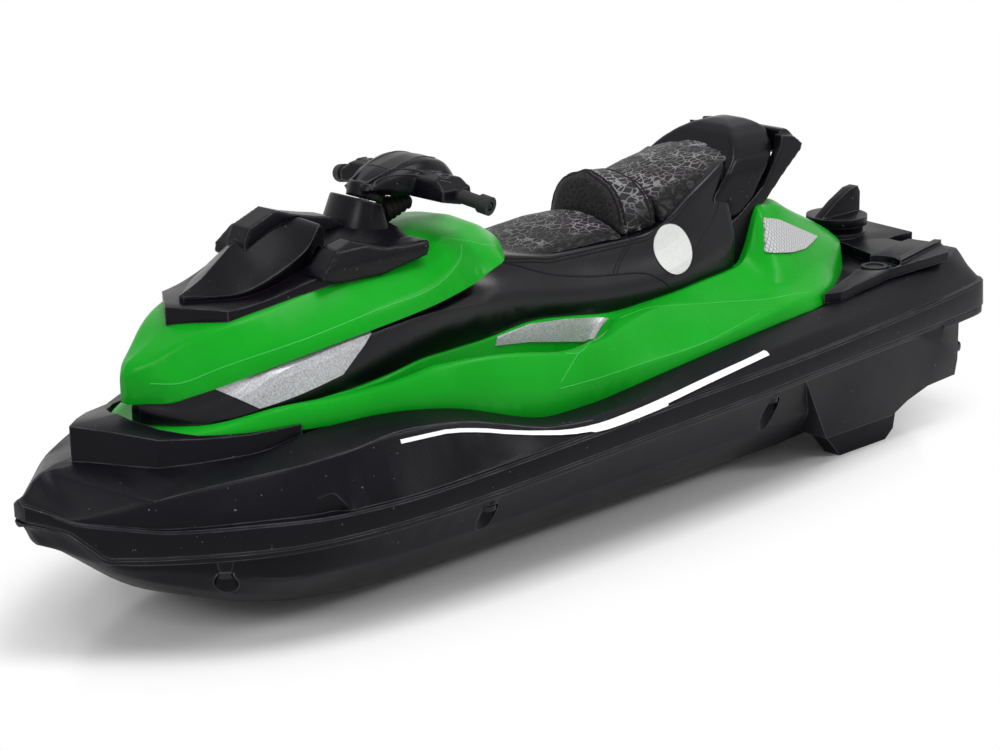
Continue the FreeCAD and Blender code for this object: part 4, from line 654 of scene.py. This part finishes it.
# %% Replace the outer shells
MOULDED = [("deck_fairing", gloss_green, 0.0005), ("bonnet", gloss_green, 0.0005),
           ("hull_shell", hull_black, 0.0006), ("deck_shell", hull_black, 0.0006),
           ("hatch_cover", hull_black, 0.0005), ("hatch_knob", hull_black, 0.0005),
           ("cowl", shell_black, 0.0005), ("cowl_panel", shell_black, 0.0005),
           ("seat_body", smooth_black, 0.0006)]
RELAXED = [("mirror_port", 7), ("mirror_starboard", 7), ("instrument_visor", 4), ("handlebar", 3),
           ("seat_backrest", 30), ("grab_handle", 8)]
worn = {node: moulded(node, material, edge) for node, material, edge in MOULDED}
worn.update({node: relaxed(node, shell_black, rounds) for node, rounds in RELAXED})
print("faces:", {node: len(piece.data.polygons) for node, piece in worn.items()})

# %% [markdown]
# ## Piping and seams on the seat
# Twin cords run round the foot of the pads. A seam leaves the bonnet, sinks along the side of the seat and
# turns down at the footwell; a short one joins it to the pads. The strap over the bolster is piped along
# both edges.

# %% Seat seams
FOOT = [(151.5, 84.6), (158, 83.2), (165, 81.9), (171, 80.6), (180, 80.1), (190, 79.9), (210, 79.7),
        (215, 80.4), (220, 82.0), (225, 84.1), (232, 88.0), (240, 91.8), (248.6, 95.4)]
SIDE = [(151.5, 83.0), (157, 80.9), (163.2, 78.4), (171.9, 75.3), (186.2, 72.2), (196.4, 70.9), (208, 69.2),
        (214, 66.2), (218.0, 63.2)]
JOINING = [(197, 71.0), (200.3, 74.0), (204.5, 77.1), (208.6, 79.8)]
HOOP_RAYS, HOOP_REACH = 60, 96     # rays round a hoop, and degrees to each side
HOOP_CENTRE = 84.5             # the height that the rays leave from


def side_seam(surface, route, lower=0.0, sink=0.00012):
    """A seam drawn in side view, laid on the port side from outboard."""
    return laid(surface, [at(station, 40, height - lower) for station, height in route], (0, -1, 0), sink)


def hoop(surface, station):
    """Points round a cover, where rays from its middle come out."""
    found = []
    for i in range(HOOP_RAYS + 1):
        angle = math.radians(HOOP_REACH * (2 * i / HOOP_RAYS - 1))
        heading = Vector((0, math.sin(angle), math.cos(angle)))
        place, normal, index, distance = surface.ray_cast(at(station, 0, HOOP_CENTRE), heading)
        if place is not None:
            found.append(place - 0.0001 * heading)
    return found


seat_side = surface_of(worn["seat_body"])
piping = [side_seam(seat_side, FOOT, 0.6), side_seam(seat_side, FOOT, 1.6), side_seam(seat_side, SIDE),
          side_seam(seat_side, JOINING), side_seam(seat_side, [(s - 1.1, z + 0.5) for s, z in JOINING])]
add_on(tube("seat_piping", twin(piping), 0.00034), seat_plain)
strap = surface_of(bolster)
hoops = [hoop(strap, station) for station in (206.2, 207.5, 216.6, 218.0)]
add_on(tube("strap_piping", hoops, 0.00042), seat_plain)
print("seams:", len(piping), "hoops:", [len(path) for path in hoops])

# %% [markdown]
# ## Hood of the steering column
# The column under the handlebar is a hood with a rounded front and flat sides that narrow towards the top.
# It starts as an upright cylinder. The front half of each ring stays round, the back half is squared, and
# the ring grows and slides forward towards the foot.

# %% Shape the hood
HOOD_FOOT = 90.4
PIN_STATION, COLUMN_TOP, COLUMN_SLOPE = 119.0, 103.1, 0.376     # the raked plane under the handlebar
BOXINESS = 0.4                 # a power under one squares the back half of the ring


def hood_place(forward, side, level):
    """Where a point of the upright cylinder goes, its level from 0 at the foot to 1 at the top."""
    centre, half = 111.0 + 4.6 * level, 10.5 - 1.5 * level
    if forward >= 0:
        station, breadth = centre - (6.6 - 1.8 * level) * forward, half * side
    else:
        station = centre + (12.6 - 9.0 * level) * abs(forward) ** BOXINESS
        breadth = math.copysign(half * abs(side) ** BOXINESS, side)
    top = COLUMN_TOP - COLUMN_SLOPE * (station - PIN_STATION)
    return at(station, breadth, HOOD_FOOT + (top - HOOD_FOOT) * level)


bpy.ops.mesh.primitive_cylinder_add(vertices=56, radius=1.0, depth=2.0, location=(0, 0, 0))
hood = bpy.context.object
hood.name = "neck_hood"
bpy.ops.object.mode_set(mode="EDIT")
bpy.ops.mesh.select_all(action="SELECT")
bpy.ops.mesh.bisect(plane_co=(0, 0, 0), plane_no=(0, 0, 1))
bpy.ops.object.mode_set(mode="OBJECT")
for vertex in hood.data.vertices:
    vertex.co = hood_place(vertex.co.x, vertex.co.y, (vertex.co.z + 1) / 2)
apply_modifier(hood, "BEVEL", width=0.0006, segments=3, limit_method="ANGLE", angle_limit=math.radians(40))
bpy.ops.object.shade_smooth_by_angle(angle=math.radians(35))
settle(hood, "steering_neck", shell_black)
print("hood faces:", len(hood.data.polygons))

# %% [markdown]
# ## Creases in the mouldings
# A crease in glossy plastic shows as a thin bright line where its rounded edge catches the light. The
# bonnet has one along each shoulder and a short one aft of each mirror, the fairing has four on each side,
# and the deck one along the bow. The seat's side panel ends in a proud lip. Each is a slim bead, sunk past
# its middle in the surface that it follows. The beads on the bonnet and fairing are painted a lighter green,
# a painted highlight along their creases. The lines are points on the port side, as station, breadth and
# height.

# %% Where the creases run
BONNET_CREASES = [
    [(39.5, 6.6, 68.0), (42.3, 10.3, 68.1), (46.1, 12.9, 68.3), (53.7, 17.9, 71.4), (60.8, 22.1, 73.7),
     (77.1, 27.4, 77.1), (99, 29.8, 80.9), (115.9, 29.1, 82.2), (125.8, 27.3, 84.6), (132.4, 25, 88),
     (136, 21.5, 90.9)],
    [(132.5, 17.0, 92.8), (137.1, 19.9, 91.6), (142.9, 21.8, 89.7), (150.5, 20.1, 87.2)]]
FAIRING_CREASES = [
    [(190, 30.5, 60.2), (201.7, 29.6, 60.5), (210.4, 31.6, 60.2), (223.3, 31.9, 58.3), (237.8, 33.2, 56.5),
     (251.1, 37.1, 55.6), (261.6, 38.9, 55.5), (265.5, 39.4, 55.1)],
    [(156.8, 41.4, 58.6), (162.1, 41.7, 57.6), (169.1, 39.0, 58.5), (175, 35.5, 58.5)],
    [(162.1, 41.7, 57.6), (157.5, 42.6, 54.3), (153.2, 43.4, 50.9)],
    [(152.5, 43.7, 49.4), (168.6, 43.6, 49.1), (189.8, 43.1, 49.5), (211.2, 43.2, 50.0), (225.3, 42.5, 51.6),
     (240.8, 40.9, 53.5)]]
DECK_CREASES = [
    [(25.7, 25.7, 43.6), (60, 42.5, 48.9), (73.2, 47, 50.9), (89.8, 48.5, 52.9), (105.8, 50.7, 51.7),
     (114.6, 51, 50.1), (132.6, 52.3, 44.7), (141.3, 53.2, 42.8), (155.1, 54.2, 41.9)]]
PANEL_ENDS = [
    [(249.4, 18.8, 93), (247.8, 19.2, 88), (243.2, 19.8, 81), (234.1, 21.8, 75), (226.8, 24.1, 67.8)]]


print("creases on each side:", sum(map(len, (BONNET_CREASES, FAIRING_CREASES, DECK_CREASES, PANEL_ENDS))))


# %% Beads along the creases
def hugging(surface, points, sink):
    """A smooth route moved onto the nearest points of a surface, and sunk into it a little."""
    found = []
    for point in smooth_route(points):
        place, normal, index, distance = surface.find_nearest(point)
        found.append(place - normal * sink)
    return found


def beads(name, node, routes, radius, material):
    """A bead along each route, on both sides of the craft."""
    surface = surface_of(worn[node])
    paths = [hugging(surface, [at(*point) for point in route], 0.6 * radius) for route in routes]
    add_on(tube(name, twin(paths), radius), material)
    print(name, "points:", [len(path) for path in paths])


# The bonnet and fairing beads wear the lighter green of the painted crease highlight.
beads("bonnet_beads", "bonnet", BONNET_CREASES, 0.00034, crease_green)
beads("fairing_beads", "deck_fairing", FAIRING_CREASES, 0.00030, crease_green)
beads("deck_beads", "deck_shell", DECK_CREASES, 0.00035, hull_black)
beads("panel_lips", "seat_body", PANEL_ENDS, 0.00050, seat_plain)

# %% [markdown]
# ## Handlebar details
# The pad over the column has two raised welts along each side and one across its top, where its cover was
# moulded in two halves. Each switch block beside it has two small oval sockets with rounded rims.

# %% Welts on the pad
bar_surface = surface_of(worn["handlebar"])
WELTS = [[(116.4, 108.4), (118.4, 110.4), (121.5, 111.6), (125.4, 111.9), (130, 111.3), (134, 109.8)],
         [(117.4, 107.0), (119.4, 108.9), (122.5, 110.1), (126, 110.4), (130, 109.9), (133.6, 108.6)]]
welts = [side_seam(bar_surface, route, sink=0.0001) for route in WELTS]
across = laid(bar_surface, [at(124.6, y, 130) for y in (-5.4, -3, 0, 3, 5.4)], (0, 0, -1), 0.0001)
top_edges = [laid(bar_surface, [at(s, 5.4, 130) for s in (124.6, 130, 136, 141)], (0, 0, -1), 0.0001)]
add_on(tube("bar_welts", twin(welts + top_edges) + [across], 0.00036), shell_black, "handlebar")
print("welts:", 2 * len(welts + top_edges) + 1)


# %% Rims of the sockets
RIM_POINTS = 28


def rim(surface, centre, long_way, short_way):
    """A closed oval that lies on a surface, round the point nearest the given centre."""
    place, normal, index, distance = surface.find_nearest(centre)
    forward = normal.cross(Vector((0, 1, 0))).normalized()
    side = normal.cross(forward)
    path = []
    for i in range(RIM_POINTS + 1):
        turn = 2 * math.pi * i / RIM_POINTS
        spot = place + forward * long_way * math.cos(turn) + side * short_way * math.sin(turn)
        path.append(surface.find_nearest(spot)[0])
    return path


rims = [rim(bar_surface, at(133.4, breadth, 111.2), 0.0016, 0.0011) for breadth in (18.6, -18.6)]
rims += [rim(bar_surface, at(134.2, breadth, 112), 0.0011, 0.0009) for breadth in (13.6, -13.6)]
add_on(tube("socket_rims", rims, 0.00030), shell_black, "handlebar")
print("socket rims:", len(rims))

# %% [markdown]
# ## Floor
# The craft stands on a pale, slightly glossy floor. Near the craft the floor is lit as it is, so that it
# keeps the shadow. Beyond an oval round the hull the camera sees it as plain white, which hides the
# horizon.

# %% Floor
FLOOR_RADIUS = 6.0
SHADOW_OVAL = (0.175, 0.068)   # half the length and half the breadth of the oval round the hull

bpy.ops.mesh.primitive_circle_add(vertices=96, radius=FLOOR_RADIUS, fill_type="NGON", location=(0, 0, 0))
floor = bpy.context.object
floor.name = "floor"
ground = Finish("floor_finish")
oval = ground.node("ShaderNodeMapping",
                   inputs={"Vector": ground.place, "Scale": (1 / SHADOW_OVAL[0], 1 / SHADOW_OVAL[1], 1.0)})
apart = ground.node("ShaderNodeVectorMath", {"operation": "LENGTH"}, {0: oval}, output="Value")
wander = ground.noise(40.0)
pale = ground.node("ShaderNodeBsdfPrincipled", inputs={
    "Base Color": ground.blend(wander, rgb(0.93, 0.93, 0.93), rgb(0.96, 0.96, 0.96)),
    "Roughness": ground.span(wander, 0.3, 0.7, 0.16, 0.2), "Specular IOR Level": 0.35})
glow = ground.node("ShaderNodeEmission", inputs={"Color": rgb(1, 1, 1), "Strength": 1.0})
seen = ground.node("ShaderNodeLightPath", output="Is Camera Ray") * ground.span(apart, 0.86, 1.3)
wear(floor, ground.finished_with(ground.node("ShaderNodeMixShader", inputs={0: seen, 1: pale, 2: glow})))
print("floor radius in metres:", FLOOR_RADIUS)

# %% [markdown]
# ## A white room
# The world is white to the camera and in reflections, so that glossy plastic and metal show the same pale
# room, and weaker where it lights the craft.

# %% World
ROOM_LIGHT, ROOM_SEEN = 0.55, 1.0

room = Network(bpy.data.worlds.new("white_room"))
ray = room.node("ShaderNodeLightPath", output="Is Camera Ray")
seen = room.maths("MAXIMUM", ray, ray.beside("Is Glossy Ray"))
seen = room.maths("MAXIMUM", seen, ray.beside("Is Transmission Ray"))
strength = room.span(seen, 0.0, 1.0, ROOM_LIGHT, ROOM_SEEN)
white = room.node("ShaderNodeBackground", inputs={"Color": rgb(1, 1, 1), "Strength": strength})
bpy.context.scene.world = room.finished_with(white, "ShaderNodeOutputWorld")
print("world nodes:", len(room.tree.nodes))

# %% [markdown]
# ## Lamps
# Three soft lamps light the craft: one overhead, one from the bow, and a smaller one from the port side, a
# little aft.

# %% Lamps
AIM = Vector((0.0055, 0.0031, 0.0420))


def lamp(name, azimuth, elevation, distance, side, power):
    """A square soft lamp that faces the craft, its azimuth counted from the bow to port."""
    a, e = math.radians(azimuth), math.radians(elevation)
    away = Vector((math.cos(a) * math.cos(e), math.sin(a) * math.cos(e), math.sin(e)))
    bpy.ops.object.light_add(type="AREA", location=AIM + away * distance)
    item = bpy.context.object
    item.name = name
    item.data.size = side
    item.data.energy = power
    item.rotation_mode = "QUATERNION"
    item.rotation_quaternion = (-away).to_track_quat("-Z", "Y")
    return item


lamps = [lamp("overhead", 100, 76, 1.1, 0.5, 6.5), lamp("bow_side", 15, 32, 1.2, 0.35, 3.4),
         lamp("stern_side", 128, 32, 1.2, 0.3, 3.2)]
print("lamp watts:", [round(item.data.energy, 1) for item in lamps])

# %% [markdown]
# ## Camera
# A long lens looks down on the port bow. The camera's three axes are worked out from its azimuth, counted
# from port to the bow, its elevation and its roll, and become the columns of its matrix.

# %% Camera
AZIMUTH, ELEVATION, ROLL = math.radians(42.288), math.radians(16.833), math.radians(-1.144)
DISTANCE = 0.71718

level = math.cos(ELEVATION)
back = Vector((math.sin(AZIMUTH) * level, math.cos(AZIMUTH) * level, math.sin(ELEVATION)))
right = (-back).cross(Vector((0, 0, 1))).normalized()
upward = right.cross(-back)
rolled_right = right * math.cos(ROLL) + upward * math.sin(ROLL)
rolled_up = upward * math.cos(ROLL) - right * math.sin(ROLL)
axes = Matrix((rolled_right, rolled_up, back)).transposed().to_4x4()
bpy.ops.object.camera_add()
camera = bpy.context.object
camera.matrix_world = Matrix.Translation(AIM + back * DISTANCE) @ axes
camera.data.sensor_width = 36.0
camera.data.lens = 85.93
camera.data.shift_x = -0.00125
camera.data.shift_y = -0.00056
camera.data.clip_start = 0.01
bpy.context.scene.camera = camera
bpy.context.scene.view_settings.view_transform = "Standard"
print("camera at, in mm:", [round(1000 * part) for part in camera.matrix_world.translation])

# %% [markdown]
